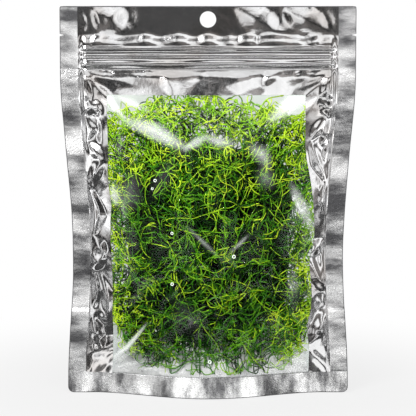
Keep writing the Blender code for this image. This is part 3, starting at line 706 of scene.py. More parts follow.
def mesh_from(name, verts, faces):
    """Mesh from arrays of points in metres and of faces with the same number of corners."""
    mesh = bpy.data.meshes.new(name)
    count, sides = faces.shape
    mesh.vertices.add(len(verts))
    mesh.vertices.foreach_set("co", verts.astype(np.float32).ravel())
    mesh.loops.add(count * sides)
    mesh.loops.foreach_set("vertex_index", faces.astype(np.int32).ravel())
    mesh.polygons.add(count)
    mesh.polygons.foreach_set("loop_start", np.arange(0, count * sides, sides, dtype=np.int32))
    mesh.update(calc_edges=True)
    return mesh


def add_piece(name, mesh, materials, slot, *nodes):
    """New piece of the object: rides on the body and stands for CAD nodes; slot is not used."""
    piece = bpy.data.objects.new(name, mesh)
    bpy.context.scene.collection.objects.link(piece)
    for mat in materials:
        mesh.materials.append(mat)
    mesh.shade_smooth()
    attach(piece, ROOT)
    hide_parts(*nodes)
    return piece


def apply_modifiers(piece):
    """Replace the piece's mesh by what its modifiers make of it."""
    graph = bpy.context.evaluated_depsgraph_get()
    done = bpy.data.meshes.new_from_object(piece.evaluated_get(graph))
    piece.modifiers.clear()
    piece.data = done


def sharpen(piece, angle):
    """Smooth shading with sharp edges where the surface turns by more than the angle."""
    bm = bmesh.new()
    bm.from_mesh(piece.data)
    for edge in bm.edges:
        edge.smooth = len(edge.link_faces) == 2 and edge.calc_face_angle(0.0) < angle
    bm.to_mesh(piece.data)
    bm.free()


def node(tree, kind, **settings):
    """New node with its settings."""
    made = tree.nodes.new(kind)
    for key, value in settings.items():
        setattr(made, key, value)
    return made


def feed(tree, target, source):
    """Set an input from a socket or from a plain value."""
    if isinstance(source, bpy.types.NodeSocket):
        tree.links.new(source, target)
    else:
        target.default_value = source


def maths(tree, operation, a, b=0.0, c=0.0, clamp=False):
    """Output of a Math node."""
    made = node(tree, "ShaderNodeMath", operation=operation, use_clamp=clamp)
    for socket, value in zip(made.inputs, (a, b, c)):
        feed(tree, socket, value)
    return made.outputs[0]


def mix(tree, factor, a, b):
    """Output colour of a Mix node."""
    made = node(tree, "ShaderNodeMix", data_type="RGBA")
    feed(tree, made.inputs["Factor"], factor)
    feed(tree, made.inputs[6], a)
    feed(tree, made.inputs[7], b)
    return made.outputs[2]


def noise(tree, place, scale, detail=2.0, roughness=0.5):
    """Factor of a Noise node at a place."""
    made = node(tree, "ShaderNodeTexNoise")
    feed(tree, made.inputs["Vector"], place)
    feed(tree, made.inputs["Scale"], scale)
    made.inputs["Detail"].default_value = detail
    made.inputs["Roughness"].default_value = roughness
    return made.outputs["Fac"]


def ramp(tree, value, low, high):
    """0 below low, 1 above high, eased between."""
    made = node(tree, "ShaderNodeMapRange", interpolation_type="SMOOTHSTEP")
    feed(tree, made.inputs["Value"], value)
    made.inputs["From Min"].default_value = low
    made.inputs["From Max"].default_value = high
    return made.outputs["Result"]


def new_group(name, inputs, outputs):
    """Empty shader group with named sockets, and its input and output nodes."""
    group = bpy.data.node_groups.new(name, "ShaderNodeTree")
    for socket, kind, value in inputs:
        made = group.interface.new_socket(socket, in_out="INPUT", socket_type=kind)
        made.default_value = value
    for socket, kind in outputs:
        group.interface.new_socket(socket, in_out="OUTPUT", socket_type=kind)
    return group, node(group, "NodeGroupInput"), node(group, "NodeGroupOutput")


def crinkle_group():
    """Fine crinkles of thin film: a height, a tint and a change of roughness."""
    name = "Crinkle"
    if name in bpy.data.node_groups:
        return bpy.data.node_groups[name]
    group, given, out = new_group(
        name,
        [("Scale", "NodeSocketFloat", 110.0), ("Fine", "NodeSocketFloat", 0.3)],
        [("Height", "NodeSocketFloat"), ("Tint", "NodeSocketFloat"), ("Rough", "NodeSocketFloat")])
    place = node(group, "ShaderNodeTexCoord").outputs["Object"]
    broad = noise(group, place, given.outputs["Scale"], 1.0)
    fine = noise(group, place, maths(group, "MULTIPLY", given.outputs["Scale"], 5.0), 2.0)
    height = maths(group, "MULTIPLY_ADD", fine, given.outputs["Fine"], broad)
    group.links.new(height, out.inputs["Height"])
    group.links.new(ramp(group, noise(group, place, 45.0, 2.0), 0.5, 0.7), out.inputs["Tint"])
    group.links.new(fine, out.inputs["Rough"])
    return group


def speckle_group():
    """Pressed texture of a heat seal: a height, the specks that it leaves, and patches of painted light and
    shade.
    """
    name = "Heat seal"
    if name in bpy.data.node_groups:
        return bpy.data.node_groups[name]
    group, given, out = new_group(
        name,
        [("Scale", "NodeSocketFloat", 900.0)],
        [("Height", "NodeSocketFloat"), ("Specks", "NodeSocketFloat"), ("Painted bands", "NodeSocketFloat")])
    place = node(group, "ShaderNodeTexCoord").outputs["Object"]
    cells = node(group, "ShaderNodeTexVoronoi", feature="SMOOTH_F1")
    feed(group, cells.inputs["Vector"], place)
    feed(group, cells.inputs["Scale"], given.outputs["Scale"])
    grain = noise(group, place, maths(group, "MULTIPLY", given.outputs["Scale"], 1.6), 3.0, 0.6)
    height = maths(group, "ADD", cells.outputs["Distance"], grain)
    group.links.new(height, out.inputs["Height"])
    group.links.new(ramp(group, grain, 0.5, 0.62), out.inputs["Specks"])
    # The patches of painted light and shade are drawn out across each band, like the reflected bands of a
    # wavy seal: along x in the side seals, along z in the bottom seal
    split = node(group, "ShaderNodeSeparateXYZ")
    group.links.new(place, split.inputs[0])
    low = maths(group, "LESS_THAN", split.outputs["Z"], BOTTOM_SEAL * MM)
    high = maths(group, "SUBTRACT", 1.0, low)
    banded = node(group, "ShaderNodeCombineXYZ")
    for target, source, beside in (("X", "X", low), ("Y", "Z", high)):
        stretch = maths(group, "MULTIPLY_ADD", beside, 0.65, 0.35)
        feed(group, banded.inputs[target], maths(group, "MULTIPLY", split.outputs[source], stretch))
    patches = noise(group, banded.outputs[0], 75.0, 4.0, 0.6)
    group.links.new(ramp(group, patches, 0.36, 0.62), out.inputs["Painted bands"])
    return group


def strand_group():
    """Tone along the strands: patches of lighter growth, and dark joints."""
    name = "Strand tone"
    if name in bpy.data.node_groups:
        return bpy.data.node_groups[name]
    group, given, out = new_group(
        name,
        [("Patch Scale", "NodeSocketFloat", 90.0), ("Joint Scale", "NodeSocketFloat", 900.0)],
        [("Tone", "NodeSocketFloat"), ("Joints", "NodeSocketFloat")])
    place = node(group, "ShaderNodeTexCoord").outputs["Object"]
    patches = noise(group, place, given.outputs["Patch Scale"], 2.0)
    joints = noise(group, place, given.outputs["Joint Scale"], 1.0)
    feed(group, out.inputs["Tone"], ramp(group, patches, 0.35, 0.65))
    feed(group, out.inputs["Joints"], ramp(group, joints, 0.35, 0.75))
    return group


def new_material(name, **values):
    """Material, its node tree and its Principled shader, with plain values on the shader's sockets."""
    mat = bpy.data.materials.new(name)
    mat.use_nodes = True
    tree = mat.node_tree
    shader = tree.nodes["Principled BSDF"]
    for socket, value in values.items():
        shader.inputs[socket].default_value = value
    return mat, tree, shader


def use_group(tree, group, **values):
    """Place a group in a material with its own values."""
    made = node(tree, "ShaderNodeGroup", node_tree=group)
    for socket, value in values.items():
        made.inputs[socket.replace("_", " ")].default_value = value
    return made


def roughen(tree, shader, change, spread, least):
    """Roughness that changes over the surface, from least upwards."""
    feed(tree, shader.inputs["Roughness"], maths(tree, "MULTIPLY_ADD", change, spread, least))


def bump(tree, shader, height, distance, strength):
    """Bump node from a height to the shader's normal."""
    made = node(tree, "ShaderNodeBump")
    made.inputs["Distance"].default_value = distance
    made.inputs["Strength"].default_value = strength
    tree.links.new(height, made.inputs["Height"])
    tree.links.new(made.outputs["Normal"], shader.inputs["Normal"])


def foil_material():
    """Bright metallised film, slightly crinkled, with a faint warm tint in places."""
    if "bright_foil" in bpy.data.materials:
        return bpy.data.materials["bright_foil"]
    look = bpy.context.scene.chaeto_foil
    mat, tree, shader = new_material("bright_foil", Metallic=1.0)
    crinkle = use_group(tree, crinkle_group(), Scale=120.0, Fine=0.25)
    colour = mix(tree, crinkle.outputs["Tint"], (*look.colour, 1.0), (*look.tint, 1.0))
    tree.links.new(colour, shader.inputs["Base Color"])
    roughen(tree, shader, crinkle.outputs["Rough"], 0.12, 0.06)
    bump(tree, shader, crinkle.outputs["Height"], 0.0006, look.crinkle)
    return mat


def seal_material():
    """Heat-sealed band: grey, speckled by the jaws of the sealer, with lighter and darker patches of painted
    reflection and shade.
    """
    if "heat_seal" in bpy.data.materials:
        return bpy.data.materials["heat_seal"]
    look = bpy.context.scene.chaeto_foil
    mat, tree, shader = new_material("heat_seal", Metallic=0.7)
    speckle = use_group(tree, speckle_group(), Scale=1300.0)
    # Painted reflection and shade: light and dark patches that stand in for the bands of light the wavy seal
    # reflects
    light_and_shade = mix(tree, speckle.outputs["Painted bands"], (*look.seal_painted_shade, 1.0), (*look.seal_painted_light, 1.0))
    fewer = maths(tree, "MULTIPLY_ADD", speckle.outputs["Painted bands"], -0.55, 0.85)
    specks = maths(tree, "MULTIPLY", speckle.outputs["Specks"], fewer)
    colour = mix(tree, specks, light_and_shade, (*look.seal_speck, 1.0))
    tree.links.new(colour, shader.inputs["Base Color"])
    roughen(tree, shader, speckle.outputs["Specks"], 0.15, 0.22)
    bump(tree, shader, speckle.outputs["Height"], 0.0002, 0.45)
    return mat


def rim_material():
    """Cut edge of the laminate, dull and dark."""
    if "cut_edge" in bpy.data.materials:
        return bpy.data.materials["cut_edge"]
    mat, tree, shader = new_material("cut_edge", Metallic=0.4)
    speckle = use_group(tree, speckle_group(), Scale=900.0)
    colour = mix(tree, speckle.outputs["Specks"], (0.10, 0.10, 0.105, 1.0), (0.03, 0.03, 0.03, 1.0))
    tree.links.new(colour, shader.inputs["Base Color"])
    roughen(tree, shader, speckle.outputs["Specks"], 0.2, 0.4)
    bump(tree, shader, speckle.outputs["Height"], 0.0001, 0.3)
    return mat


def glowing_liner_material():
    """Milky sealant layer on the inside of the webs, with a painted glow: it emits a faint light that stands
    in for the light reaching the inside of the pouch.
    """
    if "milky_liner_painted_glow" in bpy.data.materials:
        return bpy.data.materials["milky_liner_painted_glow"]
    mat, tree, shader = new_material("milky_liner_painted_glow", Metallic=0.0, Roughness=0.35)
    # Painted light: a faint glow of the liner, standing in for the light that reaches the inside of the pouch
    shader.inputs["Emission Strength"].default_value = 0.62
    shader.inputs["Emission Color"].default_value = (0.95, 1.0, 0.98, 1.0)
    crinkle = use_group(tree, crinkle_group(), Scale=60.0, Fine=0.15)
    colour = mix(tree, crinkle.outputs["Tint"], (0.36, 0.37, 0.37, 1.0), (0.28, 0.29, 0.30, 1.0))
    tree.links.new(colour, shader.inputs["Base Color"])
    bump(tree, shader, crinkle.outputs["Height"], 0.0006, 0.3)
    return mat


def gusset_material():
    """Sealant layer on the upper side of the gusset: silvery, softly creased."""
    mat, tree, shader = new_material("gusset_liner", Metallic=0.6)
    crinkle = use_group(tree, crinkle_group(), Scale=70.0, Fine=0.1)
    colour = mix(tree, crinkle.outputs["Tint"], (0.85, 0.86, 0.86, 1.0), (0.60, 0.61, 0.62, 1.0))
    tree.links.new(colour, shader.inputs["Base Color"])
    roughen(tree, shader, crinkle.outputs["Rough"], 0.2, 0.2)
    bump(tree, shader, crinkle.outputs["Height"], 0.004, 0.8)
    return mat


def film_material():
    """Clear glossy film: its reflection shows, stronger at grazing angles, with a faint haze, and painted
    highlights whitened along its creases.
    """
    look = bpy.context.scene.chaeto_film
    mat, tree, shader = new_material("clear_window", Metallic=1.0)
    shader.inputs["Base Color"].default_value = (*look.colour, 1.0)
    crinkle = use_group(tree, crinkle_group(), Scale=55.0, Fine=0.1)
    roughen(tree, shader, crinkle.outputs["Rough"], 0.06, 0.03)
    facing = node(tree, "ShaderNodeFresnel")
    facing.inputs["IOR"].default_value = 1.45
    shine = maths(tree, "MULTIPLY", facing.outputs["Fac"], 0.25)
    # Painted highlight: along the marked creases the film turns white and less metallic
    painted_crease_highlight = node(tree, "ShaderNodeAttribute", attribute_name="painted_crease_highlight").outputs["Fac"]
    streaks = maths(tree, "MULTIPLY_ADD", crinkle.outputs["Rough"], 0.8, 0.6)
    white = maths(tree, "MULTIPLY", maths(tree, "MULTIPLY", painted_crease_highlight, streaks), look.painted_crease_highlight, clamp=True)
    hazy = maths(tree, "MULTIPLY_ADD", crinkle.outputs["Tint"], look.haze, white)
    tree.links.new(maths(tree, "ADD", hazy, shine, clamp=True), shader.inputs["Alpha"])
    dull = maths(tree, "MULTIPLY", painted_crease_highlight, 4.0)
    feed(tree, shader.inputs["Metallic"], maths(tree, "SUBTRACT", 1.0, dull, clamp=True))
    bump(tree, shader, crinkle.outputs["Height"], 0.0005, 0.03)
    return mat


def zip_material():
    """Translucent white plastic of the zip tracks, with fine extrusion lines."""
    mat, tree, shader = new_material("zip_track_plastic", Roughness=0.35)
    crinkle = use_group(tree, crinkle_group(), Scale=200.0, Fine=0.2)
    colour = mix(tree, crinkle.outputs["Tint"], (0.82, 0.83, 0.84, 1.0), (0.74, 0.75, 0.77, 1.0))
    tree.links.new(colour, shader.inputs["Base Color"])
    bump(tree, shader, crinkle.outputs["Height"], 0.0002, 0.3)
    return mat


def web_materials():
    """Materials of a web, in the order of FOIL, SEAL, LINER and CUT_EDGE."""
    return [foil_material(), seal_material(), glowing_liner_material(), rim_material()]


def strand_material(name, dark, light, roughness, coat=0.16):
    """Wet green thread, with a tone that changes from place to place."""
    mat, tree, shader = new_material(name, Roughness=roughness)
    shader.inputs["Specular IOR Level"].default_value = 0.15
    shader.inputs["Coat Weight"].default_value = coat
    shader.inputs["Coat Roughness"].default_value = 0.05
    tone = use_group(tree, strand_group(), Patch_Scale=90.0, Joint_Scale=900.0)
    colour = mix(tree, tone.outputs["Tone"], (*dark, 1.0), (*light, 1.0))
    shaded = mix(tree, maths(tree, "MULTIPLY", tone.outputs["Joints"], 0.45), colour, (*dark, 1.0))
    tree.links.new(shaded, shader.inputs["Base Color"])
    bump(tree, shader, tone.outputs["Joints"], 0.0001, 0.4)
    return mat


def drop_material():
    """Small drop: a bright rim around a clear middle."""
    mat, tree, shader = new_material("droplet", Metallic=1.0, Roughness=0.05)
    rim = node(tree, "ShaderNodeLayerWeight")
    rim.inputs["Blend"].default_value = 0.5
    patch = noise(tree, node(tree, "ShaderNodeTexCoord").outputs["Object"], 800.0)
    colour = mix(tree, patch, (0.95, 1.0, 0.95, 1.0), (0.8, 0.9, 0.85, 1.0))
    tree.links.new(colour, shader.inputs["Base Color"])
    edge = maths(tree, "POWER", rim.outputs["Facing"], 2.0)
    feed(tree, shader.inputs["Alpha"], maths(tree, "MULTIPLY_ADD", edge, 0.85, 0.08, clamp=True))
    return mat


def bubble_glint_material():
    """Painted glint around a bubble: a white, faintly glowing ring, with a few duller places."""
    mat, tree, shader = new_material("bubble_painted_glint", Roughness=0.15)
    crinkle = use_group(tree, crinkle_group(), Scale=900.0, Fine=0.3)
    colour = mix(tree, crinkle.outputs["Rough"], (0.95, 1.0, 0.96, 1.0), (0.65, 0.75, 0.66, 1.0))
    tree.links.new(colour, shader.inputs["Base Color"])
    # Painted light: the ring glows faintly in its own colour
    tree.links.new(colour, shader.inputs["Emission Color"])
    shader.inputs["Emission Strength"].default_value = 0.3
    bump(tree, shader, crinkle.outputs["Height"], 0.0001, 0.2)
    return mat


class Room:
    """Space between the webs and above the gusset, as tables over u and z."""

    def __init__(self, clearance):
        """Tables of how far a strand may go towards each web, and of its distance inside the outline."""
        self.us = np.arange(-ROOM_HALF, ROOM_HALF + 0.1)
        self.zs = np.arange(ROOM_LOW, ROOM_TOP + 0.1)
        u, z = np.meshgrid(self.us, self.zs)
        self.front = -web(u, z, -1)[..., 1] - clearance - FILM_INSET
        self.back = web(u, z, 1)[..., 1] - clearance
        for _ in range(3):
            self.front = np.minimum(self.front, self.shrink(self.front))
        self.edge = self.outline(u, z)
        self.edge_z, self.edge_u = np.gradient(self.edge)

    @staticmethod
    def shrink(table):
        """Each value lowered to the mean of its neighbours, which takes the sharp folds out."""
        mean = table.copy()
        mean[1:-1, 1:-1] = (table[:-2, 1:-1] + table[2:, 1:-1] + table[1:-1, :-2] + table[1:-1, 2:]) / 4
        return mean

    @staticmethod
    def outline(u, z):
        """Distance inside the tangle's outline, negative outside."""
        hump = HUMP * np.exp(-((u - HUMP_AT) / HUMP_HALF) ** 2)
        top = OUTLINE_TOP + hump - TOP_FALL * smooth((np.abs(u + 2) - 26) / 26) + 1.5 * np.sin(u / 5.0)
        bowls = [(np.abs(u) / half) ** power for half, power in (LEFT_BOWL, RIGHT_BOWL)]
        low = BOWL_LOW + BOWL_RISE * np.where(u < 0, *bowls)
        left = LEFT_SIDE - 2.5 * smooth((40 - z) / 20)
        right = RIGHT_SIDE - 6.0 * smooth((z - 112) / 20)
        side = np.where(u < 0, left, right) + 1.2 * np.sin(z / 6.5) + 0.7 * np.sin(z / 2.9)
        return np.minimum(np.minimum(top - z, (z - low) * 0.8), side - np.abs(u))

    def look(self, table, u, z):
        """Bilinear value of a table."""
        a = np.clip(u - self.us[0], 0, len(self.us) - 1.001)
        b = np.clip(z - self.zs[0], 0, len(self.zs) - 1.001)
        i, j = a.astype(int), b.astype(int)
        s, t = a - i, b - j
        low = table[j, i] * (1 - s) + table[j, i + 1] * s
        high = table[j + 1, i] * (1 - s) + table[j + 1, i + 1] * s
        return low * (1 - t) + high * t

    def keep_in(self, points):
        """Points moved back between the webs and above the gusset."""
        u, y, z = points[..., 0], points[..., 1], points[..., 2]
        u = np.clip(u, -MASS_HALF, MASS_HALF)
        z = np.minimum(z, STRAND_TOP)
        front, back = self.look(self.front, u, z), self.look(self.back, u, z)
        y = np.clip(y, -front, back)
        half = gusset_half(u) + 0.2
        share = np.clip(np.abs(y) / np.maximum(half, 0.1), 0, 1) ** (1 / squareness(u))
        above = (gusset_rise(u) + GUSSET_CLEARANCE) * np.sqrt(np.maximum(0.0, 1 - share ** 2))
        floor = BOTTOM_SEAL + GUSSET_CLEARANCE + above
        over = np.where(np.abs(y) < half, floor, BOTTOM_SEAL + 1.0)
        return np.stack([u, y, np.maximum(z, over)], axis=-1)


def unit(v):
    """Vectors drawn out to a length of 1."""
    return v / np.maximum(np.linalg.norm(v, axis=-1, keepdims=True), 1e-9)


def grow(rng, room, start, heading, steps, length, bend, shell, loose=0.0):
    """Curly strands from start points; each keeps to a layer behind a web, at most shell deep."""
    count = len(start)
    points = [start]
    place = start.copy()
    axis = unit(np.cross(heading, rng.normal(size=(count, 3))) + (0, 0.8, 0))
    turn = rng.uniform(*bend, size=(count, 1)) * rng.choice((-1, 1), size=(count, 1))
    face = np.where(start[:, 1] < 0, -1.0, 1.0)
    layer = shell * rng.random(count) ** 1.4
    roll = rng.uniform(0, 2 * math.pi, count)
    for k in range(steps):
        place = place + heading * length
        u, y, z = place.T
        inside = room.look(room.edge, u, z) + loose
        push = np.zeros_like(place)
        weight = np.clip(1 - inside / EDGE_DEPTH, 0, 1.5)
        push[:, 0] += weight * room.look(room.edge_u, u, z)
        push[:, 2] += weight * room.look(room.edge_z, u, z)
        limit = np.where(face < 0, room.look(room.front, u, z), room.look(room.back, u, z))
        wanted = face * np.maximum(limit - layer * (1 + 0.5 * np.sin(roll + k * 0.5)), 0.3)
        push[:, 1] += np.clip((wanted - y) * LAYER_PULL, -LAYER_PUSH, LAYER_PUSH)
        place = room.keep_in(place)
        axis = unit(axis + rng.normal(scale=DRIFT, size=axis.shape))
        flip = rng.random((count, 1)) < FLIP_CHANCE
        kink = (rng.random((count, 1)) < KINK_CHANCE) * rng.normal(scale=KINK, size=(count, 3))
        turn = np.where(flip, -turn, turn)
        heading = unit(heading + turn * length * np.cross(axis, heading) + kink + push * PUSH_SHARE)
        points.append(place)
    return np.stack(points, axis=1)


def tube_mesh(name, groups):
    """Closed tubes with three sides; groups holds (points, radii) with one row per strand."""
    verts, faces, start = [], [], 0
    for points, radii in groups:
        count, steps = points.shape[:2]
        tangent = unit(np.gradient(points, axis=1))
        side = np.zeros_like(points)
        side[:, 0] = unit(np.cross(tangent[:, 0], np.roll(tangent[:, 0], 1, axis=-1) + 0.1))
        for k in range(1, steps):
            last = side[:, k - 1]
            side[:, k] = unit(last - tangent[:, k] * np.sum(last * tangent[:, k], axis=-1, keepdims=True))
        other = np.cross(tangent, side)
        ring = []
        for k in range(3):
            turn = 2 * math.pi * k / 3
            ring.append(points + (side * math.cos(turn) + other * math.sin(turn)) * radii[..., None])
        ring = np.stack(ring, axis=2)
        verts.append(ring.reshape(-1, 3))
        index = start + np.arange(count * steps * 3).reshape(count, steps, 3)
        for k in range(3):
            low, high = index[:, :-1], index[:, 1:]
            n = (k + 1) % 3
            quad = np.stack([low[..., k], low[..., n], high[..., n], high[..., k]], axis=-1).reshape(-1, 4)
            faces += [quad[:, [0, 1, 2]], quad[:, [0, 2, 3]]]
        faces += [index[:, 0, ::-1], index[:, -1]]
        start += count * steps * 3
    return mesh_from(name, np.concatenate(verts) * MM, np.concatenate(faces))


def world_points(points):
    """Points over the flat web turned into world millimetres."""
    placed = points.copy()
    placed[..., 0] = across(points[..., 0], points[..., 2])
    return placed


def scatter(rng, room, count, face, shell, edges, low_z):
    """Start points inside the tangle's outline, within the shell behind a web."""
    found = []
    while sum(len(f) for f in found) < count:
        u = rng.uniform(-MASS_HALF, MASS_HALF, count * 2)
        z = rng.uniform(low_z, START_TOP, count * 2)
        airy = rng.random(len(u)) > AIRY * smooth((z - AIRY_FROM) / AIRY_RISE)
        edge = room.look(room.edge, u, z)
        inside = (edge > edges[0]) & (edge < edges[1]) & (airy | (low_z > AIRY_FROM - 30))
        u, z = u[inside], z[inside]
        limit = room.look(room.front if face < 0 else room.back, u, z)
        y = face * np.maximum(limit - rng.uniform(0, shell, len(u)), limit * 0.1)
        found.append(np.stack([u, y, z], axis=-1))
    return room.keep_in(np.concatenate(found)[:count])


def taper(rng, count, steps, radius, bulbs):
    """Radii along strands: even, drawn in at both ends, with a bulb at some tips."""
    along = np.linspace(0, 1, steps)
    shape = 1 - THINNING * np.maximum(0, np.abs(along - 0.5) * 2 - THIN_FROM) / (1 - THIN_FROM)
    radii = radius * rng.uniform(0.85, 1.15, (count, 1)) * shape[None, :]
    tip = rng.random(count) < bulbs
    radii[tip, -2] = radius * BULB
    radii[tip, -1] = radius * 0.9
    return radii


def strands(rng, room, radius, count, face, shell, steps, length, bend, forks, edges, loose,
            up=0.0, low_z=START_LOW):
    """Strands with side branches, as groups for tube_mesh."""
    start = scatter(rng, room, count, face, shell, edges, low_z)
    heading = unit(rng.normal(size=(count, 3)) * (1, 0.55, 1) + (0, 0, up))
    main = grow(rng, room, start, heading, steps, length, bend, shell, loose)
    groups = [(world_points(main), taper(rng, count, steps + 1, radius, TIP_BULBS))]
    picked = rng.choice(count, int(count * forks), replace=True)
    at = rng.integers(3, steps - 2, len(picked))
    root = main[picked, at]
    along = unit(main[picked, at + 1] - main[picked, at - 1])
    aside = unit(along + 0.8 * unit(rng.normal(size=along.shape)))
    short = max(4, steps // 6)
    branch = grow(rng, room, root, aside, short, length, bend, shell, loose)
    thinner = radius * 0.95
    groups.append((world_points(branch), taper(rng, len(picked), short + 1, thinner, BRANCH_BULBS)))
    return groups


def stray_strands(room, radius):
    """Single strands that stand out at the top, each a smooth line with a bulb at its end."""
    groups = []
    for k, marks in enumerate(STRAYS):
        marks = np.array(marks)
        at = np.arange(len(marks))
        fine = np.linspace(0, len(marks) - 1, STRAY_STEPS)
        low = np.minimum(fine.astype(int), len(marks) - 2)
        padded = np.vstack([2 * marks[0] - marks[1], marks, 2 * marks[-1] - marks[-2]])
        a, b, c, d = (padded[low + j] for j in range(4))
        t = (fine - at[low])[:, None]
        line = 0.5 * (2 * b + (c - a) * t + (2 * a - 5 * b + 4 * c - d) * t ** 2
                      + (3 * b - a - 3 * c + d) * t ** 3)
        u, z = line[:, 0], line[:, 1]
        deep = 0.8 + 0.7 * np.sin(fine * 1.7 + k)
        y = -np.maximum(room.look(room.front, u, z) - deep, 0.3)
        points = room.keep_in(np.stack([u, y, z], axis=-1))[None]
        radii = np.full((1, STRAY_STEPS), radius)
        radii[0, 0], radii[0, -2], radii[0, -1] = radius * 0.5, radius * 1.7, radius * 1.1
        groups.append((world_points(points), radii))
    return groups


class ChaetoFoilSettings(bpy.types.PropertyGroup):
    """Colours and thickness of the metallised film"""
    colour: FloatVectorProperty(name="Foil colour", description="Colour of the bright metallised film",
                                default=(0.74, 0.74, 0.745), subtype="COLOR", min=0, max=1)
    tint: FloatVectorProperty(name="Foil tint", description="Warm tint in patches of the foil",
                              default=(0.64, 0.615, 0.60), subtype="COLOR", min=0, max=1)
    # Painted shade and painted light of the seals: the dark and light patches that stand in for their
    # reflected bands
    seal_painted_shade: FloatVectorProperty(name="Seal colour", description="Darker patches of the sealed bands",
                                   default=(0.13, 0.13, 0.135), subtype="COLOR", min=0, max=1)
    seal_painted_light: FloatVectorProperty(name="Seal light", description="Lighter patches of the sealed bands",
                                    default=(1.0, 1.0, 1.0), subtype="COLOR", min=0, max=1)
    seal_speck: FloatVectorProperty(name="Seal specks", description="Specks of the heat-sealed bands",
                                    default=(0.05, 0.05, 0.055), subtype="COLOR", min=0, max=1)
    crinkle: FloatProperty(name="Crinkle", description="Strength of the foil's fine crinkles",
                           default=0.22, min=0, max=1, subtype="FACTOR")
    thickness: FloatProperty(name="Film thickness", description="Thickness of every web of the pouch",
                             default=0.0003, min=0.0001, max=0.0006, unit="LENGTH")


class ChaetoFilmSettings(bpy.types.PropertyGroup):
    """Look of the window and what clings to it"""
    colour: FloatVectorProperty(name="Film colour", description="Colour of the window film's reflections",
                                default=(0.97, 1.0, 0.98), subtype="COLOR", min=0, max=1)
    haze: FloatProperty(name="Haze", description="How milky the film is in patches",
                        default=0.007, min=0, max=0.5, subtype="FACTOR")
    # How strong the painted highlights along the film's creases are
    painted_crease_highlight: FloatProperty(name="Creases", description="How white the creases of the film are",
                          default=0.5, min=0, max=1, subtype="FACTOR")
    droplets: IntProperty(name="Droplets", description="Number of small drops on the inside of the film",
                          default=70, min=0, max=1000)


class ChaetoAlgaeSettings(bpy.types.PropertyGroup):
    """Thickness, number and colours of the strands"""
    radius: FloatProperty(name="Strand radius", description="Radius of a strand",
                          default=0.00033, min=0.0001, max=0.001, unit="LENGTH")
    amount: FloatProperty(name="Amount", description="Share of the full number of strands",
                          default=1.0, min=0.05, max=1, subtype="FACTOR")
    # deep is painted shade, for the strands far behind the film and for the core
    deep: FloatVectorProperty(name="Deep green", description="Colour of the shaded strands",
                              default=(0.002, 0.020, 0.002), subtype="COLOR", min=0, max=1)
    middle: FloatVectorProperty(name="Middle green", description="Colour of most strands",
                                default=(0.040, 0.20, 0.004), subtype="COLOR", min=0, max=1)
    # bright is painted light, for the strands pressed against the film
    bright: FloatVectorProperty(name="Bright green", description="Colour of the strands against the film",
                                default=(0.20, 0.46, 0.010), subtype="COLOR", min=0, max=1)
    fringe: FloatVectorProperty(name="Fringe", description="Colour of the tips that stand out",
                                default=(0.60, 0.80, 0.03), subtype="COLOR", min=0, max=1)


class ChaetoStageSettings(bpy.types.PropertyGroup):
    """Floor and camera"""
    floor: FloatVectorProperty(name="Floor colour", description="Colour of the plain floor",
                               default=(0.80, 0.80, 0.80), subtype="COLOR", min=0, max=1)
    distance: FloatProperty(name="Camera distance", description="Distance of the camera from the pouch",
                            default=1.3, min=0.3, max=5, unit="LENGTH")
    elevation: FloatProperty(name="Camera elevation", description="Angle of the camera above the ground",
                             default=math.radians(9), min=0, max=1.5, subtype="ANGLE")
    frame_width: FloatProperty(name="Frame width", description="Width that the picture shows at the pouch",
                               default=0.2127, min=0.05, max=1, unit="LENGTH")
    aim: FloatProperty(name="Aim height", description="Height that the camera looks at",
                       default=0.0962, min=0, max=0.3, unit="LENGTH")


def middles(marks):
    """Places halfway between neighbouring grid lines."""
    return (marks[1:] + marks[:-1]) / 2


def web_grid(side, step):
    """Middles of the cells of a web's grid, the points of the web over it, and its grid lines."""
    right = [HOLE_RADIUS, WINDOW_HALF, WINDOW_HALF + FILM_LAP, INNER, HALF - RIM, HALF]
    marks_u = [-x for x in reversed(right)] + right
    marks_z = [0.0, RIM, BOTTOM_SEAL / 2, BOTTOM_SEAL, WELD, WINDOW_TOP, WINDOW_TOP + FILM_LAP, ZIP_BOTTOM,
               ZIP_TOP, NOTCH_AT - NOTCH_HALF, NOTCH_AT, NOTCH_AT + NOTCH_HALF, HEADER_BOTTOM,
               HOLE_AT - HOLE_RADIUS, HOLE_AT + HOLE_RADIUS, HEIGHT - RIM, HEIGHT]
    us, zs = lines(marks_u, step), lines(marks_z, step)
    fine = (zs[:-1] > ZIP_BOTTOM - 4) & (zs[:-1] < ZIP_TOP)
    zs = np.sort(np.concatenate([zs, middles(zs)[fine]]))
    u, z = np.meshgrid(us, zs)
    mid_u, mid_z = np.meshgrid(middles(us), middles(zs))
    if side < 0:
        u = u + window_shift(u, z)
    round_u, round_z = rounded(u, z)
    return mid_u, mid_z, web(round_u, round_z, side), us, zs


def window_shift(u, z):
    """How far grid lines near the window's edge move outwards to the edge that the foil really has."""
    total = np.zeros_like(u)
    for sign, table in ((1, RIGHT_EDGE), (-1, LEFT_EDGE)):
        edge = np.interp(z, [p[0] for p in table], [p[1] for p in table])
        near = smooth(1 - np.abs(np.abs(u) - WINDOW_HALF) / EDGE_REACH)
        total = total + np.where(u * sign > 0, sign * near * (edge - WINDOW_HALF), 0.0)
    return total


def around_hole(u, z):
    """Cells outside the hang hole."""
    return (np.abs(u) > HOLE_RADIUS) | (np.abs(z - HOLE_AT) > HOLE_RADIUS)


def seal_kinds(u, z):
    """Material of each cell on the outside of a web."""
    rim = (np.abs(u) > HALF - RIM) | (z < RIM) | (z > HEIGHT - RIM)
    sealed = (np.abs(u) > INNER) | (z < BOTTOM_SEAL)
    return np.where(rim, CUT_EDGE, np.where(sealed, SEAL, FOIL))


def film_thickness(context):
    """Thickness of every web in millimetres."""
    return context.scene.chaeto_foil.thickness / MM


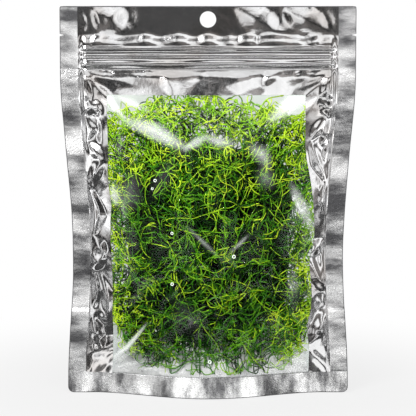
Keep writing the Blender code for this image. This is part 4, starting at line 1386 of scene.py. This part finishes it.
class CHAETO_OT_front_foil(bpy.types.Operator):
    """Build the front web: foil around the window, folded where the pouch draws in"""
    bl_idname = "chaeto.front_foil"
    bl_label = "Front foil"

    def execute(self, context):
        u, z, points, _, _ = web_grid(-1, FRONT_STEP)
        window = (np.abs(u) < WINDOW_HALF) & (z > BOTTOM_SEAL) & (z < WINDOW_TOP)
        mesh = sheet_mesh("front_foil_skin", points, film_thickness(context), ~window & around_hole(u, z),
                          seal_kinds(u, z), LINER)
        piece = add_piece("front_foil_skin", mesh, web_materials(), "foil", "front_foil")
        sharpen(piece, SHARP_FOLD)
        return {"FINISHED"}


class CHAETO_OT_back_foil(bpy.types.Operator):
    """Build the plain back web"""
    bl_idname = "chaeto.back_foil"
    bl_label = "Back foil"

    def execute(self, context):
        u, z, points, _, _ = web_grid(1, BACK_STEP)
        mesh = sheet_mesh("back_foil_skin", points, film_thickness(context), around_hole(u, z),
                          seal_kinds(u, z), LINER, side=1)
        piece = add_piece("back_foil_skin", mesh, web_materials(), "foil", "back_foil")
        sharpen(piece, SHARP_FOLD)
        return {"FINISHED"}


class CHAETO_OT_window_film(bpy.types.Operator):
    """Build the clear film behind the cut-out"""
    bl_idname = "chaeto.window_film"
    bl_label = "Window film"

    def execute(self, context):
        _, _, points, us, zs = web_grid(-1, FRONT_STEP)
        cols = np.abs(us) < WINDOW_HALF + FILM_LAP + 0.1
        rows = (zs > BOTTOM_SEAL / 2 - 0.1) & (zs < WINDOW_TOP + FILM_LAP + 0.1)
        mesh = sheet_mesh("window_film_skin", points[rows][:, cols], film_thickness(context),
                          inset=FILM_INSET)
        u, z = np.meshgrid(us[cols], zs[rows])
        u = u + window_shift(u, z)
        # Marks where the film gets its painted highlights and haze
        painted_crease_highlight = np.clip(ridge_field(FILM_PAINTED_HIGHLIGHTS, u, z), 0, 1).ravel()
        mark = mesh.attributes.new("painted_crease_highlight", "FLOAT", "POINT")
        mark.data.foreach_set("value", np.concatenate([painted_crease_highlight, painted_crease_highlight]).astype(np.float32))
        add_piece("window_film_skin", mesh, [film_material()], "film", "window_film")
        return {"FINISHED"}


class CHAETO_OT_gusset(bpy.types.Operator):
    """Build the bottom web, opened into an arch between the bottom seals"""
    bl_idname = "chaeto.gusset"
    bl_label = "Bottom gusset"

    def execute(self, context):
        corner = [HALF - LOW_CORNER, HALF - 2, HALF - 1, HALF - RIM, HALF]
        us = lines([-x for x in corner[::-1]] + [-INNER, INNER] + corner, GUSSET_STEP)
        ends = [1.0, 2 - LOW_CORNER / BOTTOM_SEAL, 2 - 2 / BOTTOM_SEAL, 2 - 1 / BOTTOM_SEAL, 2.0]
        qs = lines([-q for q in ends[::-1]] + [0.0] + ends, GUSSET_SHARE)
        u, q = np.meshgrid(us, qs)
        round_u, round_z = rounded(u, BOTTOM_SEAL * (2 - np.abs(q)))
        leg = np.abs(q) >= 1
        u = np.where(leg, round_u, u)
        q = np.where(leg, np.sign(q) * (2 - round_z / BOTTOM_SEAL), q)
        points = gusset(u, q)
        points[..., 1] += seal_sway(u, points[..., 2])
        kinds = (np.abs(middles(us))[None, :] > INNER) | (np.abs(middles(qs))[:, None] > 1)
        mesh = sheet_mesh("bottom_gusset_skin", points, film_thickness(context), None, kinds.astype(int),
                          LINER, side=1)
        materials = [foil_material(), seal_material(), gusset_material()]
        add_piece("bottom_gusset_skin", mesh, materials, "foil", "bottom_gusset")
        return {"FINISHED"}


class CHAETO_OT_zip_tracks(bpy.types.Operator):
    """Give the zip tracks their plastic"""
    bl_idname = "chaeto.zip_tracks"
    bl_label = "Zip tracks"

    def execute(self, context):
        mat = zip_material()
        for name in ("zip_track_front", "zip_track_back"):
            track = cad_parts[name]
            for slot in track.material_slots:
                slot.material = mat
        return {"FINISHED"}


class CHAETO_OT_algae(bpy.types.Operator):
    """Grow the tangle of algae between the webs"""
    bl_idname = "chaeto.algae"
    bl_label = "Algae"

    def execute(self, context):
        look = context.scene.chaeto_algae
        radius = look.radius / MM
        room = Room(radius + WEB_CLEARANCE)
        # Painted light and shade by depth: darker greens for strands deep in the tangle, lighter ones for
        # those against the film
        finishes = {
            "deep": strand_material("algae_deep_painted_shade", tuple(c * 0.3 for c in look.deep), look.deep, 0.6, 0.05),
            "middle": strand_material("algae_middle", look.deep, look.middle, 0.35),
            "bright": strand_material("algae_bright_painted_light", look.middle, look.bright, 0.3),
            "thread": strand_material("algae_thread", look.bright, look.fringe, 0.25),
            "fringe": strand_material("algae_fringe", look.bright, look.fringe, 0.3),
        }
        for k, layer in enumerate(STRAND_LAYERS):
            how = dict(layer)
            name, finish, thin = how.pop("name"), how.pop("finish"), how.pop("thin")
            how["count"] = int(how["count"] * look.amount)
            groups = strands(np.random.default_rng(SEED + k), room, radius * thin, **how)
            if name == "algae_fringe_strands":
                groups += stray_strands(room, radius * 1.1)
            add_piece(name, tube_mesh(name, groups), [finishes[finish]], "algae", "chaeto_tangle")
        self.core(look)
        return {"FINISHED"}

    def core(self, look):
        """Painted shade in the heart of the tangle: a very dark lumpy solid where only shade is seen between
        the strands, from the frame's own solid drawn in and made lumpy.
        """
        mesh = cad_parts["chaeto_tangle"].data.copy()
        mesh.materials.clear()
        # Painted shade: the core's green is the deep colour darkened further
        dark, light = (tuple(c * share for c in look.deep) for share in (0.15, 0.5))
        mat = strand_material("algae_core_painted_shade", dark, light, 0.8, 0.0)
        core = add_piece("algae_core_painted_shade", mesh, [mat], "algae", "chaeto_tangle")
        remesh = core.modifiers.new("remesh", "REMESH")
        remesh.mode = "VOXEL"
        remesh.voxel_size = CORE_CELL * MM
        lumps = bpy.data.textures.new("lumps", "CLOUDS")
        lumps.noise_scale = LUMP_SIZE * MM
        shrink = core.modifiers.new("shrink", "DISPLACE")
        shrink.texture = lumps
        shrink.strength = LUMP_DEPTH * MM
        shrink.mid_level = LUMP_MIDDLE
        apply_modifiers(core)
        low = Vector((0, 0, CORE_LOW * MM))
        for vert in core.data.vertices:
            vert.co = low + (vert.co - low) * Vector(CORE_SCALE)
        core.data.shade_smooth()


class CHAETO_OT_droplets(bpy.types.Operator):
    """Add the droplets behind the film, and the painted glints of the trapped bubbles"""
    bl_idname = "chaeto.droplets"
    bl_label = "Droplets"

    def execute(self, context):
        rng = np.random.default_rng(SEED)
        drops, bubbles = bmesh.new(), bmesh.new()
        for u, z, size in BUBBLES:
            self.press(self.ring(bubbles, size * MM), u, z, RING_FLAT)
        for _ in range(context.scene.chaeto_film.droplets):
            u, z = rng.uniform(-DROP_HALF, DROP_HALF), rng.uniform(*DROP_HEIGHTS)
            size = rng.uniform(*DROP_SIZES)
            made = bmesh.ops.create_icosphere(drops, subdivisions=2, radius=size * MM)
            self.press(made["verts"], u, z, size * DROP_FLAT)
        both = ("droplets", drops, drop_material()), ("bubbles", bubbles, bubble_glint_material())
        for name, bm, mat in both:
            mesh = bpy.data.meshes.new(name)
            bm.to_mesh(mesh)
            bm.free()
            add_piece(name, mesh, [mat], "film")
        return {"FINISHED"}

    def press(self, verts, u, z, away):
        """Flatten a drop or a ring and lay it behind the film, its middle away from it."""
        x, y, height = web(np.array([u]), np.array([z]), -1)[0]
        for vert in verts:
            vert.co.y *= DROP_FLAT
            vert.co += Vector((x, y + FILM_INSET + DROP_GAP + away, height)) * MM

    def ring(self, bm, size):
        """Ring of a bubble's painted glint."""
        thick = size * RING_THICK
        rings = []
        for j in range(RING_STEPS):
            a = 2 * math.pi * j / RING_STEPS
            ring = []
            for k in range(RING_SIDES):
                b = 2 * math.pi * k / RING_SIDES
                far = size * RING_MIDDLE + thick * math.cos(b)
                ring.append(bm.verts.new((far * math.cos(a), thick * math.sin(b), far * math.sin(a))))
            rings.append(ring)
        for this, following in zip(rings, rings[1:] + rings[:1]):
            for k in range(RING_SIDES):
                n = (k + 1) % RING_SIDES
                bm.faces.new((this[k], this[n], following[n], following[k]))
        return [vert for ring in rings for vert in ring]


class CHAETO_OT_stage(bpy.types.Operator):
    """Set up the floor, the studio light and the camera"""
    bl_idname = "chaeto.stage"
    bl_label = "Stage"

    def execute(self, context):
        look = context.scene.chaeto_stage
        self.floor(look)
        self.world(context.scene)
        self.lights()
        self.camera(context.scene, look)
        context.scene.view_settings.view_transform = "Standard"
        return {"FINISHED"}

    def floor(self, look):
        """Pale plain floor with the pouch's shadow; reflections see light and dark patches in it."""
        bm = bmesh.new()
        bmesh.ops.create_circle(bm, cap_ends=True, segments=96, radius=FLOOR_RADIUS)
        for vert in bm.verts:
            vert.co.z = -FLOOR_BELOW
        mesh = bpy.data.meshes.new("floor")
        bm.to_mesh(mesh)
        bm.free()
        floor = bpy.data.objects.new("floor", mesh)
        bpy.context.scene.collection.objects.link(floor)
        mat, tree, shader = new_material("floor", Roughness=0.9)
        place = node(tree, "ShaderNodeTexCoord").outputs["Object"]
        away = node(tree, "ShaderNodeVectorMath", operation="LENGTH")
        tree.links.new(place, away.inputs[0])
        far = ramp(tree, away.outputs["Value"], FLOOR_NEAR, FLOOR_FAR)
        ray = node(tree, "ShaderNodeLightPath").outputs["Is Camera Ray"]
        seen = mix(tree, far, (*(c * 0.35 for c in look.floor), 1.0), (0.04, 0.04, 0.04, 1.0))
        patches = ramp(tree, noise(tree, place, FLOOR_PATCHES, 1.0), 0.52, 0.62)
        small = ramp(tree, noise(tree, place, CLOSE_PATCHES, 1.0), 0.46, 0.56)
        close = ramp(tree, away.outputs["Value"], *CLOSE_REACH)
        patches = maths(tree, "MAXIMUM", patches, maths(tree, "MULTIPLY", small, close))
        mirrored = mix(tree, patches, FLOOR_DARK, (*(c * 0.95 for c in look.floor), 1.0))
        tree.links.new(mix(tree, ray, mirrored, seen), shader.inputs["Base Color"])
        shader.inputs["Specular IOR Level"].default_value = 0.0
        glow = node(tree, "ShaderNodeEmission")
        glow.inputs["Color"].default_value = (1, 1, 1, 1)
        both = node(tree, "ShaderNodeMixShader")
        pale = maths(tree, "MULTIPLY_ADD", far, 0.2, 0.8)
        feed(tree, both.inputs["Fac"], maths(tree, "MULTIPLY", ray, pale))
        tree.links.new(shader.outputs["BSDF"], both.inputs[1])
        tree.links.new(glow.outputs["Emission"], both.inputs[2])
        tree.links.new(both.outputs["Shader"], tree.nodes["Material Output"].inputs["Surface"])
        mesh.materials.append(mat)

    def world(self, scene):
        """Studio seen by the foil: dark room with soft white panels; plain white behind the object."""
        world = bpy.data.worlds.new("studio")
        scene.world = world
        world.use_nodes = True
        tree = world.node_tree
        split = node(tree, "ShaderNodeSeparateXYZ")
        tree.links.new(node(tree, "ShaderNodeTexCoord").outputs["Generated"], split.inputs[0])
        x, y, z = split.outputs
        front = maths(tree, "MULTIPLY", y, -1.0)
        azimuth = maths(tree, "MULTIPLY", maths(tree, "ARCTAN2", x, front), 180 / math.pi)
        elevation = maths(tree, "MULTIPLY", maths(tree, "ARCSINE", z), 180 / math.pi)
        total = None
        for a, e, half_a, half_e, soft, light in STUDIO_PANELS:
            aside = maths(tree, "ABSOLUTE", maths(tree, "SUBTRACT", azimuth, a))
            above = maths(tree, "ABSOLUTE", maths(tree, "SUBTRACT", elevation, e))
            wide = ramp(tree, aside, half_a + soft, half_a)
            tall = ramp(tree, above, half_e + soft, half_e)
            shine = maths(tree, "MULTIPLY", maths(tree, "MULTIPLY", wide, tall), light)
            total = shine if total is None else maths(tree, "ADD", total, shine)
        place = node(tree, "ShaderNodeTexCoord").outputs["Generated"]
        for scale, low, high, light in ROOM_CLOUDS:
            clouds = ramp(tree, noise(tree, place, scale, 1.0), low, high)
            total = maths(tree, "ADD", total, maths(tree, "MULTIPLY", clouds, light))
        uneven = maths(tree, "MULTIPLY_ADD", noise(tree, place, 3.0, 2.0), 0.9, 0.5)
        total = maths(tree, "ADD", maths(tree, "MULTIPLY", total, uneven), ROOM_LIGHT)
        camera_ray = node(tree, "ShaderNodeLightPath").outputs["Is Camera Ray"]
        background = tree.nodes["Background"]
        strength = node(tree, "ShaderNodeMix", data_type="FLOAT")
        tree.links.new(camera_ray, strength.inputs["Factor"])
        tree.links.new(total, strength.inputs[2])
        strength.inputs[3].default_value = 1.0
        tree.links.new(strength.outputs[0], background.inputs["Strength"])
        warm = maths(tree, "SUBTRACT", ramp(tree, strength.outputs[0], 0.04, 0.16),
                     ramp(tree, strength.outputs[0], 0.3, 0.8))
        tint = mix(tree, warm, (1.0, 1.0, 1.0, 1.0), WARM_TINT)
        tree.links.new(tint, background.inputs["Color"])

    def lights(self):
        """Rectangular lamps turned towards the pouch."""
        for name, place, size, power, glossy in STUDIO_LIGHTS:
            lamp = bpy.data.lights.new(name, "AREA")
            lamp.shape = "RECTANGLE"
            lamp.size, lamp.size_y = size
            lamp.energy = power
            made = bpy.data.objects.new(name, lamp)
            made.location = place
            made.rotation_mode = "QUATERNION"
            made.rotation_quaternion = (Vector(LIGHT_AIM) - Vector(place)).to_track_quat("-Z", "Y")
            made.visible_glossy = glossy
            made.visible_camera = False
            bpy.context.scene.collection.objects.link(made)

    def camera(self, scene, look):
        """Camera in front of the pouch, with a lens that gives the frame width there."""
        data = bpy.data.cameras.new("camera")
        camera = bpy.data.objects.new("camera", data)
        scene.collection.objects.link(camera)
        scene.camera = camera
        back = Vector((0, -math.cos(look.elevation), math.sin(look.elevation)))
        camera.location = Vector((0, 0, look.aim)) + back * look.distance
        camera.rotation_mode = "QUATERNION"
        camera.rotation_quaternion = (-back).to_track_quat("-Z", "Y")
        data.lens = data.sensor_width * look.distance / look.frame_width


class CHAETO_PT_panel(bpy.types.Panel):
    """Lists the pieces and their settings"""
    bl_idname = "CHAETO_PT_panel"
    bl_label = "Chaeto zip pouch"
    bl_space_type = "VIEW_3D"
    bl_region_type = "UI"
    bl_category = "Chaeto"

    def draw(self, context):
        """Settings of every group, then a button for every operator."""
        layout = self.layout
        for group in (context.scene.chaeto_foil, context.scene.chaeto_film, context.scene.chaeto_algae,
                      context.scene.chaeto_stage):
            for name in group.__annotations__:
                layout.prop(group, name)
        for operator in OPERATORS:
            layout.operator(operator.bl_idname)


SETTINGS = (
    ("chaeto_foil", ChaetoFoilSettings),
    ("chaeto_film", ChaetoFilmSettings),
    ("chaeto_algae", ChaetoAlgaeSettings),
    ("chaeto_stage", ChaetoStageSettings),
)
OPERATORS = (
    CHAETO_OT_front_foil,
    CHAETO_OT_back_foil,
    CHAETO_OT_window_film,
    CHAETO_OT_gusset,
    CHAETO_OT_zip_tracks,
    CHAETO_OT_algae,
    CHAETO_OT_droplets,
    CHAETO_OT_stage,
)


def register():
    """Add the settings, the operators and the panel."""
    for name, group in SETTINGS:
        bpy.utils.register_class(group)
        setattr(bpy.types.Scene, name, PointerProperty(type=group))
    for cls in OPERATORS + (CHAETO_PT_panel,):
        bpy.utils.register_class(cls)


def unregister():
    """Take them out again."""
    for cls in reversed(OPERATORS + (CHAETO_PT_panel,)):
        bpy.utils.unregister_class(cls)
    for name, group in reversed(SETTINGS):
        delattr(bpy.types.Scene, name)
        bpy.utils.unregister_class(group)


def main():
    """Build everything in order."""
    register()
    bpy.ops.chaeto.front_foil()
    bpy.ops.chaeto.back_foil()
    bpy.ops.chaeto.window_film()
    bpy.ops.chaeto.gusset()
    bpy.ops.chaeto.zip_tracks()
    bpy.ops.chaeto.algae()
    bpy.ops.chaeto.droplets()
    bpy.ops.chaeto.stage()
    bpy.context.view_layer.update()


if __name__ == "__main__":
    main()
